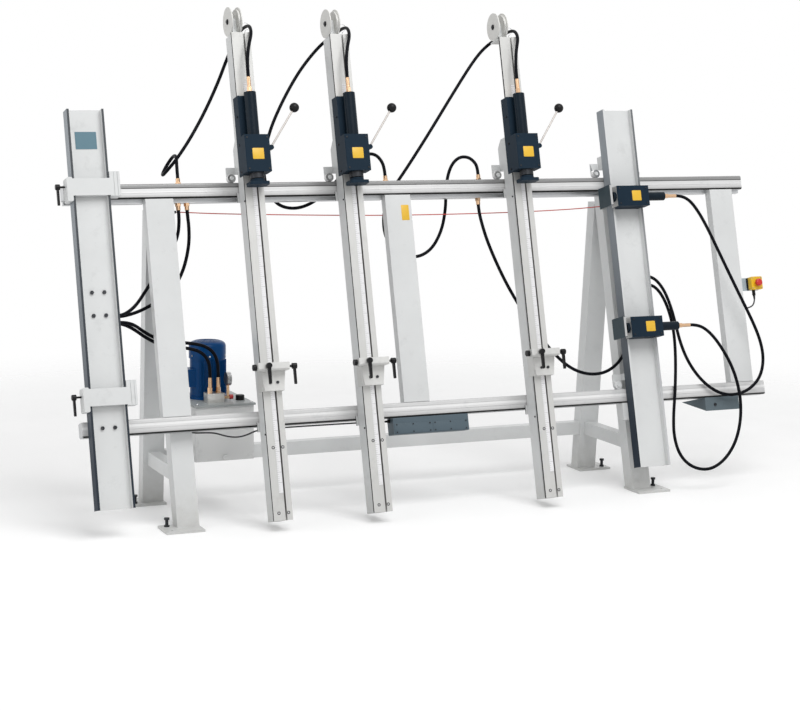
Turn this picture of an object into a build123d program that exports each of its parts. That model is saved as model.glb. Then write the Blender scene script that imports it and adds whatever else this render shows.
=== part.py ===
from build123d import *
from math import cos, pi, radians, sin, tan
import os

# Frame assembly press. Millimetres, +X along the rails, +Y to the rear, +Z up.
# The origin is on the floor, midway between the four anchor holes of the feet.
# The working plane leans back. Most pieces are drawn in that plane as (x, s, d):
# x along the rails, s up the incline from the floor line, d out towards the user,
# with d = 0 on the front faces of the two rails.

LEAN = 15.0
SLIDE_GAP = 0.3
RUNNING_GAP = 0.05

# Rails
RAIL_LENGTH = 3780.0
RAIL_LEFT_END = -1745.0
RAIL_HEIGHT = 75.0
RAIL_DEPTH = 75.0
RAIL_WALL = 5.0
RAIL_CORNER = 10.0
RAIL_GROOVE = 4.0
RAIL_GROOVE_SHARES = (-0.2, 0.14)
RAIL_GROOVE_DEPTH = 2.0
RAIL_CAP = 4.0
LOWER_RAIL_S = 524.0
RAIL_PITCH = 1136.0

# Stands
STAND_SPACING = 2500.0
LEG_WIDTH = 110.0
LEG_DEPTH = 80.0
LEG_WALL = 5.0
LEG_TOP_DROP = 8.0
LEG_SETBACK = 35.0
REAR_LEG_DEPTH = 75.0
REAR_LEG_TOP_S = 1600.0
FOOT_SPACING_Y = 645.0
FOOT_LENGTH = 190.0
FOOT_DEPTH = 160.0
FOOT_THICKNESS = 12.0
FOOT_INNER_LIP = 5.0
ANCHOR_SPACING_Y = 730.0
ANCHOR_HOLE = 14.0
TIE_HEIGHT = 70.0
TIE_WIDTH = 60.0
TIE_Z = 205.0
CROSS_WALL = 4.0
SHELF_HEIGHT = 38.0
SHELF_DEPTH = 40.0
SHELF_Y = 127.5

# Levelling screws in the feet
SCREW_THREAD = 16.0
SCREW_HEAD = 24.0
SCREW_HEAD_HEIGHT = 10.0
SCREW_STANDING = 44.0
SCREW_NUT_HEIGHT = 8.0
SCREW_FROM_LEG = 40.0
SCREW_INSET = 42.5

# Posts between the rails, guide bar under the top rail and the steel boxes below the lower rail
POST_WIDTH = 140.0
POST_DEPTH = 50.0
POST_WALL = 4.0
POST_SETBACK = 2.0
LEFT_POST_OUTSET = 32.0
CENTRE_POST_X = -27.0
END_POST_INSET = 136.0
GUIDE_BAR_HEIGHT = 15.0
GUIDE_BAR_DEPTH = 30.0
GUIDE_BAR_SETBACK = 40.0
CONTROL_BOX_WIDTH = 415.0
CONTROL_BOX_HEIGHT = 84.0
CONTROL_BOX_X = 38.0
GUSSET_WIDTH = 210.0
GUSSET_HEIGHT = 72.0
GUSSET_DEPTH = 240.0
GUSSET_INSET = 278.0
GUSSET_WALL = 8.0

# Section of the left and right beams
BEAM_WIDTH = 180.0
BEAM_FLANGE = 70.0
BEAM_WEB_THICKNESS = 8.0
BEAM_FLANGE_THICKNESS = 11.0
BEAM_BOTTOM_S = 140.0
BEAM_LENGTH = 1910.0
LEFT_BEAM_X = -1632.0
RIGHT_BEAM_X = 1262.0
PLATE_WIDTH = 104.0
PLATE_HEIGHT = 84.0
PLATE_THICKNESS = 1.5
PLATE_TOP_DROP = 106.0
BOLT_HEAD = 17.0
BOLT_HEAD_HEIGHT = 8.0

# Sliding stop collars on the left beam
COLLAR_UPPER_S = 1670.0
COLLAR_LOWER_S = 668.0
COLLAR_HEIGHT = 82.0
COLLAR_STRAP = 10.0
COLLAR_CHEEK = 28.0
COLLAR_CHEEK_HEIGHT = 116.0
COLLAR_CHEEK_DROP = 10.0
COLLAR_BACK = 8.0
COLLAR_JAW_DEPTH = 20.0
COLLAR_BLOCK = 24.0
COLLAR_PAD = 26.0
COLLAR_PAD_HEIGHT = 118.0
COLLAR_PAD_RISE = 14.0
COLLAR_PAD_GROOVE = 3.0

# Clamping levers
LEVER_HUB = 28.0
LEVER_HUB_LENGTH = 22.0
LEVER_ARM = 82.0
LEVER_ROOT_WIDTH = 17.0
LEVER_TIP_WIDTH = 13.0
LEVER_ARM_THICKNESS = 11.0
LEVER_STUD = 10.0
LEVER_STUD_SHOWN = 24.0
LEVER_STUD_SEAT = 20.0
LEVER_STUD_SPARE = 2.0

# Vertical clamps
CLAMP_1_X = -845.0
CLAMP_2_X = -327.0
CLAMP_3_X = 614.0
CLAMP_BOTTOM_S = 20.0
CLAMP_LENGTH = 2395.0
CLAMP_WIDTH = 60.0
TUBE_DEPTH = 90.0
TUBE_WALL = 4.0
TUBE_GAP = 6.0
SPACER = 4.0
SPACER_WIDTH = 40.0
PROFILE_DEPTH = 50.0
PROFILE_WALL = 6.0
FLANGE_WIDTH = 97.0
FLANGE_THICKNESS = 12.0
ROPE_SLOT = 8.0
ROPE_SLOT_X = 16.0
TAPE_WIDTH = 21.0
TAPE_X = 0.5
TAPE_RECESS = 2.0
TAPE_EDGE_GAP = 0.5
TAPE_THICKNESS = 1.5
TAPE_LENGTH = 2010.0
TAPE_BOTTOM_S = 150.0
PAD_WIDTH = 84.0
PAD_DROP = 27.0
PAD_LAP = 10.0
HANGER_HEIGHT = 185.0
HANGER_CHAMFER = 40.0

# Carrier rollers on the rails
ROLLER = 44.0
ROLLER_WIDTH = 24.0
ROLLER_AXLE = 14.0
ROLLER_INSET = 8.0
ROLLER_OFFSET = 58.0
ROLLER_ARM_THICKNESS = 8.0
ROLLER_ARM_HEIGHT = 34.0
ROLLER_SIDE_GAP = 1.0
ROLLER_END_GAP = 0.5
ROLLER_BAR_GAP = 2.0
ROLLER_EDGE = 2.0
ROLLER_HEAD = 20.0
ROLLER_HEAD_HEIGHT = 5.0
BEAM_ROLLER_OFFSET = 122.0
KEEPER_WIDTH = 60.0
KEEPER_HEIGHT = 90.0

# Balance reels at the top of the clamps
REEL = 145.0
REEL_DISC = 5.0
REEL_WIDTH = 54.0
REEL_DRUM = 124.0
REEL_HUB = 60.0
REEL_AXLE = 16.0
REEL_AXLE_LENGTH = 68.0
REEL_D = 45.0
REEL_LUG_WIDTH = 22.0
REEL_LUG_DEPTH = 40.0
REEL_BASE = 6.0
REEL_CLEARANCE = 2.5

# Press heads
HEAD_S = 1699.0
HEAD_WIDTH = 126.0
HEAD_HEIGHT = 182.0
HEAD_DEPTH = 78.0
HEAD_CHAMFER = 2.0
SHOE_LENGTH = 391.0
SHOE_WALL = 6.0
SHOE_FRONT = 22.7
SHOE_CHEEK_DEPTH = 45.3
TONGUE_WIDTH = 5.0
TONGUE_HEIGHT = 40.0
TONGUE_GAP = 2.0
BARREL = 60.0
BARREL_LENGTH = 219.0
BARREL_END = 20.0
BARREL_STANDOFF = 1.0
ROD = 45.0
ROD_IN_BARREL = 320.0
GLAND = 70.0
GLAND_LENGTH = 28.0
PRESS_FOOT_WIDTH = 100.0
PRESS_FOOT_DEPTH = 82.0
PRESS_FOOT_THICKNESS = 15.0
PRESS_FOOT_BOSS = 15.0
PRESS_FOOT_GAP = 4.0
PRESS_FOOT_STANDOFF = 18.0
FITTING = 22.0
FITTING_HEX_LENGTH = 26.0
FITTING_SLEEVE = 19.0
FITTING_SLEEVE_LENGTH = 50.0

# Release levers of the press heads
RELEASE_ANGLE = 55.0
RELEASE_LENGTH = 244.0
RELEASE_ROD = 10.0
RELEASE_BALL = 48.0
RELEASE_HUB = 24.0
RELEASE_HUB_LENGTH = 18.0
RELEASE_PIN = 10.0
RELEASE_LUG = 6.0
RELEASE_S = 1820.0
RELEASE_OUT = 14.0

# Lower stops
STOP_TOP_S = 772.0
LEDGE_LENGTH = 158.0
LEDGE_LEFT = 90.0
LEDGE_HEIGHT = 37.0
LEDGE_DEPTH = 65.0
SHIELD_HEIGHT = 94.0
SHIELD_TOP_WIDTH = 124.0
SHIELD_BOTTOM_WIDTH = 98.0
SHIELD_THICKNESS = 12.0
STOP_BOLT = 14.0
STOP_BOLT_HEIGHT = 6.0
STOP_BOLT_SPACING = 36.0
STOP_BOLT_SHARE = 0.42
STOP_LEVER_X = -42.0
STOP_LEVER_SHARE = 0.55
SPINDLE = 12.0
SPINDLE_KNOB = 30.0
SPINDLE_KNOB_LENGTH = 16.0

# Side heads on the right beam
SIDE_UPPER_S = 1568.0
SIDE_LOWER_S = 870.0
SIDE_BLOCK_LEFT = 96.0
SIDE_BLOCK_WIDTH = 192.0
SIDE_BLOCK_HEIGHT = 107.0
SIDE_BLOCK_DEPTH = 69.0
SIDE_BARREL = 46.0
SIDE_BARREL_LENGTH = 106.0
SIDE_GLAND = 54.0
SIDE_GLAND_LENGTH = 16.0
SIDE_ROD = 32.0
SIDE_ROD_SHOWN = 46.0
SIDE_ROD_INSIDE = 150.0
SIDE_FOOT_HEIGHT = 110.0
SIDE_FOOT_DEPTH = 126.0
SIDE_FOOT_THICKNESS = 12.0

# Power unit
TANK_X = -987.0
TANK_FRONT_Y = -88.0
TANK_WIDTH = 300.0
TANK_DEPTH = 400.0
TANK_HEIGHT = 272.0
TANK_WALL = 4.0
LID_THICKNESS = 10.0
LID_LIP = 8.0
MOTOR_OFFSET = -13.0
MOTOR_BEHIND = 238.0
MOTOR = 176.0
MOTOR_FLANGE = 200.0
MOTOR_FLANGE_THICKNESS = 12.0
MOTOR_BODY_LENGTH = 190.0
MOTOR_FAN_COVER = 186.0
MOTOR_FAN_LENGTH = 84.0
MOTOR_FAN_ROUND = 26.0
PUMP = 90.0
PUMP_LENGTH = 120.0
PUMP_SHAFT = 30.0
SUCTION_PIPE = 22.0
STRAINER = 50.0
STRAINER_HEIGHT = 60.0
STRAINER_FLOOR_GAP = 15.0
VALVE_OFFSET = -25.0
VALVE_BEHIND = 93.0
VALVE_WIDTH = 88.0
VALVE_DEPTH = 70.0
VALVE_HEIGHT = 46.0
VALVE_CHAMFER = 3.0
PORT_SPACING = 42.0
GAUGE = 68.0
GAUGE_DEPTH = 22.0
GAUGE_STEM = 14.0
GAUGE_RISE = 92.0
VALVE_KNOB = 24.0
VALVE_KNOB_LENGTH = 18.0
FILLER_OFFSET = 115.0
FILLER_BEHIND = 108.0
FILLER = 44.0
FILLER_HEIGHT = 26.0
DRAIN = 24.0
DRAIN_LENGTH = 12.0
DRAIN_RISE = 18.0

# Oil line inside the top rail and its unions
LINE = 18.0
LINE_D = -56.0
UNION = 20.0
UNION_HEX = 26.0
UNION_HEX_LENGTH = 14.0
UNION_SLEEVE = 22.0
UNION_SLEEVE_LENGTH = 20.0
TOP_UNION_X = (-1164.0, -62.0, 465.0)
LOW_UNION_X = (-1174.0, -1130.0, 449.0)

# Distributor block behind the left beam and manifold block behind the right beam
DISTRIBUTOR_S = 1105.0
DISTRIBUTOR_HEIGHT = 190.0
DISTRIBUTOR_WIDTH = 90.0
DISTRIBUTOR_DEPTH = 68.0
DISTRIBUTOR_PORT_S = (1030.0, 1062.0)
DISTRIBUTOR_PORT_D = (-25.0, -52.0)
MANIFOLD_X = 43.0
MANIFOLD_S = 1137.0
MANIFOLD_HEIGHT = 104.0
MANIFOLD_WIDTH = 60.0
MANIFOLD_DEPTH = 56.0
MANIFOLD_PORT_SPACING = 46.0
MANIFOLD_PORT_D = -22.0
PORT_HEX_LENGTH = 12.0
PORT_SLEEVE_LENGTH = 20.0

# Emergency stop on the end post
ESTOP_SIZE = 70.0
ESTOP_DEPTH = 52.0
ESTOP_BASE_SHARE = 20.0
ESTOP_S = 1097.0
ESTOP_FRONT_D = 6.0
ESTOP_REACH = 56.0
ESTOP_PLATE = 6.0
ESTOP_CORNER = 6.0
ESTOP_BUTTON = 40.0
ESTOP_BUTTON_HEIGHT = 16.0
ESTOP_STEM = 22.0
ESTOP_STEM_HEIGHT = 14.0
ESTOP_STEM_SEAT = 20.0
GLAND_NUT = 18.0
GLAND_NUT_LENGTH = 20.0

# Hoses and lines. Routes are points (x, s, d) between the square leads out of two ports.
# The rise of a head's hose is measured from the end of its fitting.
HOSE = 17.0
CORD = 5.0
CABLE = 8.0
ARC_SHARE = 0.45
LEAD_DIAMETERS = 2.0
CORD_D = -69.0
CORD_LEFT_S = 1568.0
CORD_RIGHT_S = 1553.0
CORD_ANCHOR = 12.0
CORD_ANCHOR_LENGTH = 24.0
CORD_ANCHOR_OUT = 11.0
MOTOR_CABLE_S = 474.0
MOTOR_CABLE_D = -45.0
ESTOP_CABLE_S = 963.0
ESTOP_CABLE_D = -27.0
HOSE_RISE = ((4, 92, -2), (18, 158, -8), (44, 226, -22), (60, 281, -82), (62, 298, -158),
             (57, 293, -232))
HOSE_1_FALL = ((-803, 2430, -85), (-843, 2340, -118), (-893, 2235, -112), (-975, 2090, -95),
               (-1060, 1960, -78), (-1125, 1872, -72), (-1171, 1815, -80), (-1199, 1783, -110),
               (-1208, 1770, -152), (-1199, 1783, -194), (-1175, 1820, -212), (-1151, 1857, -194),
               (-1142, 1870, -150), (-1147, 1852, -104), (-1159, 1808, -70))
HOSE_2_FALL = ((-318, 2440, -90), (-385, 2375, -110), (-470, 2275, -115), (-565, 2130, -118),
               (-645, 1980, -122), (-690, 1830, -125), (-690, 1700, -125), (-640, 1605, -125),
               (-545, 1580, -125), (-440, 1612, -125), (-340, 1690, -122), (-245, 1780, -112),
               (-180, 1832, -98), (-135, 1856, -85), (-95, 1848, -72), (-69, 1808, -60))
HOSE_3_FALL = ((620, 2445, -90), (545, 2375, -110), (410, 2200, -118), (230, 1955, -135),
               (90, 1770, -160), (5, 1665, -180), (-38, 1560, -186), (-40, 1440, -190), (20, 1355, -190),
               (120, 1322, -188), (210, 1360, -175), (270, 1455, -155), (296, 1565, -135),
               (302, 1670, -120), (317, 1748, -109), (345, 1805, -99), (386, 1836, -88),
               (430, 1830, -73), (458, 1797, -61))
FEED_ROUTE = ((455, 1480, -52), (475, 1385, -50), (518, 1262, -52), (575, 1130, -55), (650, 995, -58),
              (735, 860, -60), (825, 748, -60), (910, 680, -60), (1010, 650, -60), (1110, 660, -60),
              (1195, 715, -60), (1260, 810, -56), (1295, 915, -40), (1303, 975, -26))
SIDE_UPPER_ROUTE = ((1628, 1545, 104), (1672, 1490, 102), (1722, 1400, 98), (1790, 1245, 92),
                    (1880, 1040, 86), (1965, 855, 80), (2000, 745, 74), (2005, 655, 66), (1978, 572, 56),
                    (1915, 515, 46), (1840, 490, 38), (1762, 492, 30), (1686, 528, 24), (1615, 597, 20),
                    (1560, 690, 16), (1530, 790, 12), (1518, 890, 6), (1506, 990, -4), (1482, 1080, -14),
                    (1444, 1138, -20))
SIDE_LOWER_ROUTE = ((1630, 853, 104), (1680, 808, 104), (1730, 735, 104), (1775, 645, 104),
                    (1802, 545, 104), (1810, 440, 102), (1795, 330, 97), (1755, 225, 88), (1685, 140, 75),
                    (1595, 95, 62), (1500, 115, 48), (1437, 185, 36), (1420, 290, 26), (1435, 400, 20),
                    (1462, 520, 16), (1488, 640, 4), (1508, 760, -8), (1516, 870, -18), (1505, 970, -26),
                    (1478, 1048, -28), (1440, 1096, -24))
PUMP_OUT_ROUTE = ((-1038, 836, -203), (-1059, 873, -195), (-1098, 898, -190), (-1152, 911, -187),
                  (-1222, 919, -182), (-1300, 936, -173), (-1370, 970, -146), (-1428, 1003, -108),
                  (-1478, 1022, -74))
PUMP_BACK_ROUTE = ((-994, 842, -202), (-1012, 884, -194), (-1050, 914, -189), (-1105, 930, -186),
                   (-1172, 938, -183), (-1245, 949, -178), (-1315, 966, -166), (-1375, 993, -133),
                   (-1428, 1020, -88), (-1475, 1029, -48))
RAIL_FEED_ROUTE = ((-1482, 1067, -72), (-1438, 1079, -104), (-1385, 1097, -142), (-1320, 1126, -172),
                   (-1245, 1168, -182), (-1185, 1220, -176), (-1148, 1285, -156), (-1128, 1358, -126),
                   (-1120, 1430, -94), (-1124, 1502, -68))
RAIL_BACK_ROUTE = ((-1485, 1073, -46), (-1443, 1097, -84), (-1398, 1132, -130), (-1350, 1185, -170),
                   (-1298, 1250, -188), (-1243, 1325, -191), (-1195, 1390, -184), (-1172, 1436, -152),
                   (-1168, 1470, -112), (-1171, 1504, -78))
CORD_ROUTE = ((-955, 1554, CORD_D), (-320, 1534, CORD_D), (72, 1528, CORD_D), (617, 1530, CORD_D),
              (1000, 1541, CORD_D))
MOTOR_CABLE_ROUTE = ((-230, 476, -45), (-500, 478, -44), (-820, 478, -43), (-880, 472, -42),
                     (-930, 452, -41), (-985, 444, -40), (-1040, 455, -40), (-1090, 474, -40),
                     (-1145, 478, -42), (-1178, 481, -68), (-1184, 490, -125), (-1184, 530, -190),
                     (-1182, 590, -245), (-1180, 665, -295), (-1174, 730, -334), (-1158, 770, -358))
ESTOP_CABLE_ROUTE = ((2058, 1002, -35), (2045, 979, -33), (2019, 967, -29))

# Worked out from the sizes above
SIN = sin(radians(LEAN))
COS = cos(radians(LEAN))
FRONT_FOOT_Y = -FOOT_SPACING_Y / 2
REAR_FOOT_Y = FOOT_SPACING_Y / 2
PLANE_Y = FRONT_FOOT_Y + LEG_SETBACK - (RAIL_DEPTH + LEG_DEPTH / 2) / COS
INCLINE = Plane(origin=(0, PLANE_Y, 0), x_dir=(1, 0, 0), z_dir=(0, -COS, SIN)).location
TOP_RAIL_S = LOWER_RAIL_S + RAIL_PITCH
TOP_RAIL_TOP = TOP_RAIL_S + RAIL_HEIGHT / 2
TOP_RAIL_BOTTOM = TOP_RAIL_S - RAIL_HEIGHT / 2
LOWER_RAIL_TOP = LOWER_RAIL_S + RAIL_HEIGHT / 2
LOWER_RAIL_BOTTOM = LOWER_RAIL_S - RAIL_HEIGHT / 2
RAIL_RIGHT_END = RAIL_LEFT_END + RAIL_LENGTH
BEAM_TOP_S = BEAM_BOTTOM_S + BEAM_LENGTH
BEAM_WEB_BACK = (BEAM_FLANGE - BEAM_WEB_THICKNESS) / 2
BEAM_WEB_FRONT = (BEAM_FLANGE + BEAM_WEB_THICKNESS) / 2
LEG_BACK_D = -RAIL_DEPTH - LEG_DEPTH
LOW_UNION_S = TOP_RAIL_BOTTOM - GUIDE_BAR_HEIGHT
LEFT_POST_X = -STAND_SPACING / 2 - LEFT_POST_OUTSET
END_POST_X = RAIL_RIGHT_END - END_POST_INSET
END_POST_FACE = END_POST_X + POST_WIDTH / 2
POSTS = (LEFT_POST_X, CENTRE_POST_X, END_POST_X)
GUSSET_X = RAIL_RIGHT_END - GUSSET_INSET
CLAMPS = (CLAMP_1_X, CLAMP_2_X, CLAMP_3_X)
CLAMP_TOP_S = CLAMP_BOTTOM_S + CLAMP_LENGTH
TUBE_FRONT = TUBE_GAP + TUBE_DEPTH
PROFILE_BACK = TUBE_FRONT + SPACER
PROFILE_FRONT = PROFILE_BACK + PROFILE_DEPTH
ROLLER_ARM_FRONT = -ROLLER_INSET - ROLLER_WIDTH - ROLLER_SIDE_GAP
HANGER_BOTTOM = TOP_RAIL_TOP + SLIDE_GAP + ROLLER / 2
HANGER_TOP = HANGER_BOTTOM + HANGER_HEIGHT
SHOE_FRONT_D = PROFILE_FRONT + SLIDE_GAP + SHOE_FRONT
HEAD_FRONT_D = SHOE_FRONT_D + HEAD_DEPTH
BARREL_D = SHOE_FRONT_D + BARREL_STANDOFF + BARREL / 2
HEAD_TOP_S = HEAD_S + HEAD_HEIGHT
BARREL_TOP_S = HEAD_TOP_S + BARREL_LENGTH
PRESS_FOOT_TOP = HEAD_S - GLAND_LENGTH - PRESS_FOOT_GAP - PRESS_FOOT_BOSS
REEL_S = CLAMP_TOP_S + REEL_BASE + REEL_CLEARANCE + REEL / 2
LEDGE_BOTTOM_S = STOP_TOP_S - LEDGE_HEIGHT
STOP_BOTTOM_S = LEDGE_BOTTOM_S - SHIELD_HEIGHT
LEDGE_FRONT_D = SHOE_FRONT_D + LEDGE_DEPTH
SPINDLE_S = LEDGE_BOTTOM_S + LEDGE_HEIGHT / 2
SPINDLE_D = SHOE_FRONT_D + LEDGE_DEPTH / 2
TANK_BOTTOM_Z = TIE_Z + TIE_HEIGHT
TANK_TOP_Z = TANK_BOTTOM_Z + TANK_HEIGHT
LID_TOP_Z = TANK_TOP_Z + LID_THICKNESS
MOTOR_X = TANK_X + MOTOR_OFFSET
MOTOR_Y = TANK_FRONT_Y + MOTOR_BEHIND
VALVE_X = TANK_X + VALVE_OFFSET
VALVE_Y = TANK_FRONT_Y + VALVE_BEHIND
FILLER_X = TANK_X + FILLER_OFFSET
FILLER_Y = TANK_FRONT_Y + FILLER_BEHIND
RIGHT_BEAM_BACK = TUBE_GAP
SIDE_BLOCK_BACK = RIGHT_BEAM_BACK + BEAM_FLANGE + SLIDE_GAP
SIDE_AXIS_D = SIDE_BLOCK_BACK + SIDE_BLOCK_DEPTH / 2


def box(x, y, z):
    """A box given by its low and high values along three axes."""
    middle = Pos((x[0] + x[1]) / 2, (y[0] + y[1]) / 2, (z[0] + z[1]) / 2)
    return middle * Box(x[1] - x[0], y[1] - y[0], z[1] - z[0])


def about(middle, size):
    """The low and high values of a size that is centred on a point."""
    return (middle - size / 2, middle + size / 2)


def rod_x(diameter, x, s, d):
    """A round bar along x."""
    return Pos((x[0] + x[1]) / 2, s, d) * Rot(0, 90, 0) * Cylinder(diameter / 2, x[1] - x[0])


def rod_s(diameter, x, s, d):
    """A round bar up the incline."""
    return Pos(x, (s[0] + s[1]) / 2, d) * Rot(90, 0, 0) * Cylinder(diameter / 2, s[1] - s[0])


def rod_d(diameter, x, s, d):
    """A round bar square to the working plane."""
    return Pos(x, s, (d[0] + d[1]) / 2) * Cylinder(diameter / 2, d[1] - d[0])


def rod_z(diameter, x, y, z):
    """A round bar standing upright."""
    return rod_d(diameter, x, y, z)


def hexagon(across_flats):
    """A hexagon for bolt heads and unions."""
    return RegularPolygon(across_flats / 2, 6, major_radius=False)


def save(name, *pieces):
    """Write one node: every piece stays a solid of its own."""
    solids = [solid for piece in pieces for solid in piece.solids()]
    export_step(solids[0] if len(solids) == 1 else Compound(solids), f"parts/{name}.step")


def on_incline(*pieces):
    """Carry pieces drawn as (x, s, d) into the part's frame."""
    return [INCLINE * piece for piece in pieces]


def incline_point(x, s, d):
    """A point drawn as (x, s, d), in the part's frame."""
    return Vector(x, PLANE_Y + s * SIN - d * COS, s * COS + d * SIN)


# Rails

def rail(middle_s):
    """Hollow extruded rail with rounded corners and two shallow grooves in its front face."""
    section = RectangleRounded(RAIL_DEPTH, RAIL_HEIGHT, RAIL_CORNER)
    section -= RectangleRounded(RAIL_DEPTH - 2 * RAIL_WALL, RAIL_HEIGHT - 2 * RAIL_WALL, RAIL_WALL)
    groove = Rectangle(RAIL_GROOVE_DEPTH, RAIL_GROOVE)
    for share in RAIL_GROOVE_SHARES:
        section -= Pos((RAIL_DEPTH - RAIL_GROOVE_DEPTH) / 2, RAIL_HEIGHT * share) * groove
    bar = extrude(Plane.YZ * Rot(0, 0, 90) * section, RAIL_LENGTH)
    return Pos(RAIL_LEFT_END, middle_s, -RAIL_DEPTH / 2) * bar


def rail_caps(middle_s):
    """End caps that close the hollow of one rail."""
    width = RAIL_DEPTH - 2 * RAIL_WALL
    height = RAIL_HEIGHT - 2 * RAIL_WALL
    caps = []
    for end in (RAIL_LEFT_END - RAIL_CAP, RAIL_RIGHT_END):
        caps.append(box((end, end + RAIL_CAP), about(middle_s, height), about(-RAIL_DEPTH / 2, width)))
    return caps


def union_holes():
    """Bars where the oil unions pass through the top rail's walls and the guide bar."""
    bore = UNION + 2 * RUNNING_GAP
    middle = TOP_RAIL_S
    top = [rod_s(bore, x, (middle, middle + RAIL_HEIGHT), LINE_D) for x in TOP_UNION_X]
    low = [rod_s(bore, x, (middle - RAIL_HEIGHT, middle), LINE_D) for x in LOW_UNION_X]
    return top + low


def guide_bars():
    """Guide bar under the top rail, in lengths between the posts."""
    ends = [RAIL_LEFT_END]
    for x in POSTS:
        ends += about(x, POST_WIDTH)
    ends.append(RAIL_RIGHT_END)
    depth = (-GUIDE_BAR_SETBACK - GUIDE_BAR_DEPTH, -GUIDE_BAR_SETBACK)
    return [box(x, (LOW_UNION_S, TOP_RAIL_BOTTOM), depth) for x in zip(ends[::2], ends[1::2])]


def make_rails():
    """Both rails with their end caps, and the guide bar under the top one."""
    top = [rail(TOP_RAIL_S), *guide_bars()]
    for hole in union_holes():
        top = [bar - hole for bar in top]
    save("top_rail", *on_incline(*top, *rail_caps(TOP_RAIL_S)))
    save("lower_rail", *on_incline(rail(LOWER_RAIL_S), *rail_caps(LOWER_RAIL_S)))


# Stands

def above_floor(shape):
    """Cut a leg off square on top of its foot plate."""
    reach = 4 * FOOT_LENGTH
    middle = shape.center()
    under = box(about(middle.X, reach), about(0, 4 * FOOT_SPACING_Y), (-reach, FOOT_THICKNESS))
    return shape - under


def front_leg(x, wall):
    """Front leg of a stand, parallel to the working plane; wall is 0 for the solid outline."""
    top = TOP_RAIL_TOP - LEG_TOP_DROP
    bar = box(about(x, LEG_WIDTH), (-FOOT_DEPTH, top), (LEG_BACK_D, -RAIL_DEPTH))
    if wall:
        hollow = (LEG_BACK_D + wall, -RAIL_DEPTH - wall)
        bar -= box(about(x, LEG_WIDTH - 2 * wall), (-FOOT_DEPTH, top - wall), hollow)
    return above_floor(INCLINE * bar)


def rear_leg_frame(x):
    """Plane of the rear leg: its origin at the foot and its z axis up the leg."""
    top = incline_point(x, REAR_LEG_TOP_S, LEG_BACK_D - REAR_LEG_DEPTH / 2)
    foot = Vector(x, REAR_FOOT_Y, 0)
    return Plane(origin=foot, x_dir=(1, 0, 0), z_dir=top - foot), (top - foot).length


def rear_leg(x, wall):
    """Rear leg, leaning forward to the back of the front leg."""
    frame, length = rear_leg_frame(x)
    bar = box(about(0, LEG_WIDTH), about(0, REAR_LEG_DEPTH), (-FOOT_DEPTH, length))
    if wall:
        inner_depth = about(0, REAR_LEG_DEPTH - 2 * wall)
        bar -= box(about(0, LEG_WIDTH - 2 * wall), inner_depth, (-FOOT_DEPTH, length - wall))
    ahead = INCLINE * box(about(x, 2 * LEG_WIDTH), (-RAIL_PITCH, 3 * RAIL_PITCH), (LEG_BACK_D, RAIL_PITCH))
    return above_floor(frame.location * bar) - ahead


def foot_plate(side, middle_y):
    """Foot plate that reaches outwards past the leg to its levelling screw."""
    stand = side * STAND_SPACING / 2
    inner = stand - side * (LEG_WIDTH / 2 + FOOT_INNER_LIP)
    outer = inner + side * FOOT_LENGTH
    plate = box((min(inner, outer), max(inner, outer)), about(middle_y, FOOT_DEPTH), (0, FOOT_THICKNESS))
    anchor_y = ANCHOR_SPACING_Y / 2 if middle_y > 0 else -ANCHOR_SPACING_Y / 2
    plate -= rod_z(ANCHOR_HOLE, screw_x(side), anchor_y, (0, FOOT_THICKNESS))
    plate -= rod_z(SCREW_THREAD, screw_x(side), screw_y(middle_y), (0, FOOT_THICKNESS))
    return plate


def screw_x(side):
    """Where a stand's levelling screws and anchor holes are along x."""
    return side * (STAND_SPACING / 2 + LEG_WIDTH / 2 + SCREW_FROM_LEG)


def screw_y(middle_y):
    """Where the levelling screw of a foot plate is along y, inside its anchor hole."""
    return middle_y - SCREW_INSET if middle_y > 0 else middle_y + SCREW_INSET


def tie_bar(x):
    """Level tie between the front and rear leg of a stand."""
    bar = box(about(x, TIE_WIDTH), (FRONT_FOOT_Y, REAR_FOOT_Y), (TIE_Z, TIE_Z + TIE_HEIGHT))
    hollow = (TIE_Z + CROSS_WALL, TIE_Z + TIE_HEIGHT - CROSS_WALL)
    bar -= box(about(x, TIE_WIDTH - 2 * CROSS_WALL), (FRONT_FOOT_Y, REAR_FOOT_Y), hollow)
    bar -= front_leg(x, 0)
    bar -= rear_leg(x, 0)
    pieces = sorted(bar.solids(), key=lambda solid: abs(solid.center().Y))
    return pieces[0]


def make_stand(name, side):
    """Two legs, a tie and two foot plates, welded up as a stand."""
    x = side * STAND_SPACING / 2
    plates = [foot_plate(side, FRONT_FOOT_Y), foot_plate(side, REAR_FOOT_Y)]
    save(name, front_leg(x, LEG_WALL), rear_leg(x, LEG_WALL), tie_bar(x), *plates)


def stretcher_y():
    """Where the rear stretcher crosses the middle of the rear legs."""
    frame, _ = rear_leg_frame(0)
    rise = (TIE_Z + TIE_HEIGHT / 2) / frame.z_dir.Z
    return REAR_FOOT_Y + rise * frame.z_dir.Y


def make_crossmembers():
    """Rear stretcher between the stands and the bearer that carries the tank's middle."""
    reach = (STAND_SPACING - LEG_WIDTH) / 2
    middle = stretcher_y()
    rail_z = (TIE_Z, TIE_Z + TIE_HEIGHT)
    stretcher = box((-reach, reach), about(middle, TIE_WIDTH), rail_z)
    hollow = (TIE_Z + CROSS_WALL, TIE_Z + TIE_HEIGHT - CROSS_WALL)
    stretcher -= box((-reach, reach), about(middle, TIE_WIDTH - 2 * CROSS_WALL), hollow)
    shelf_x = (-STAND_SPACING / 2 + TIE_WIDTH / 2, TANK_X + TANK_WIDTH / 2)
    shelf = box(shelf_x, about(SHELF_Y, SHELF_DEPTH), (TANK_BOTTOM_Z - SHELF_HEIGHT, TANK_BOTTOM_Z))
    save("rear_stretcher", stretcher, shelf)


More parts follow.
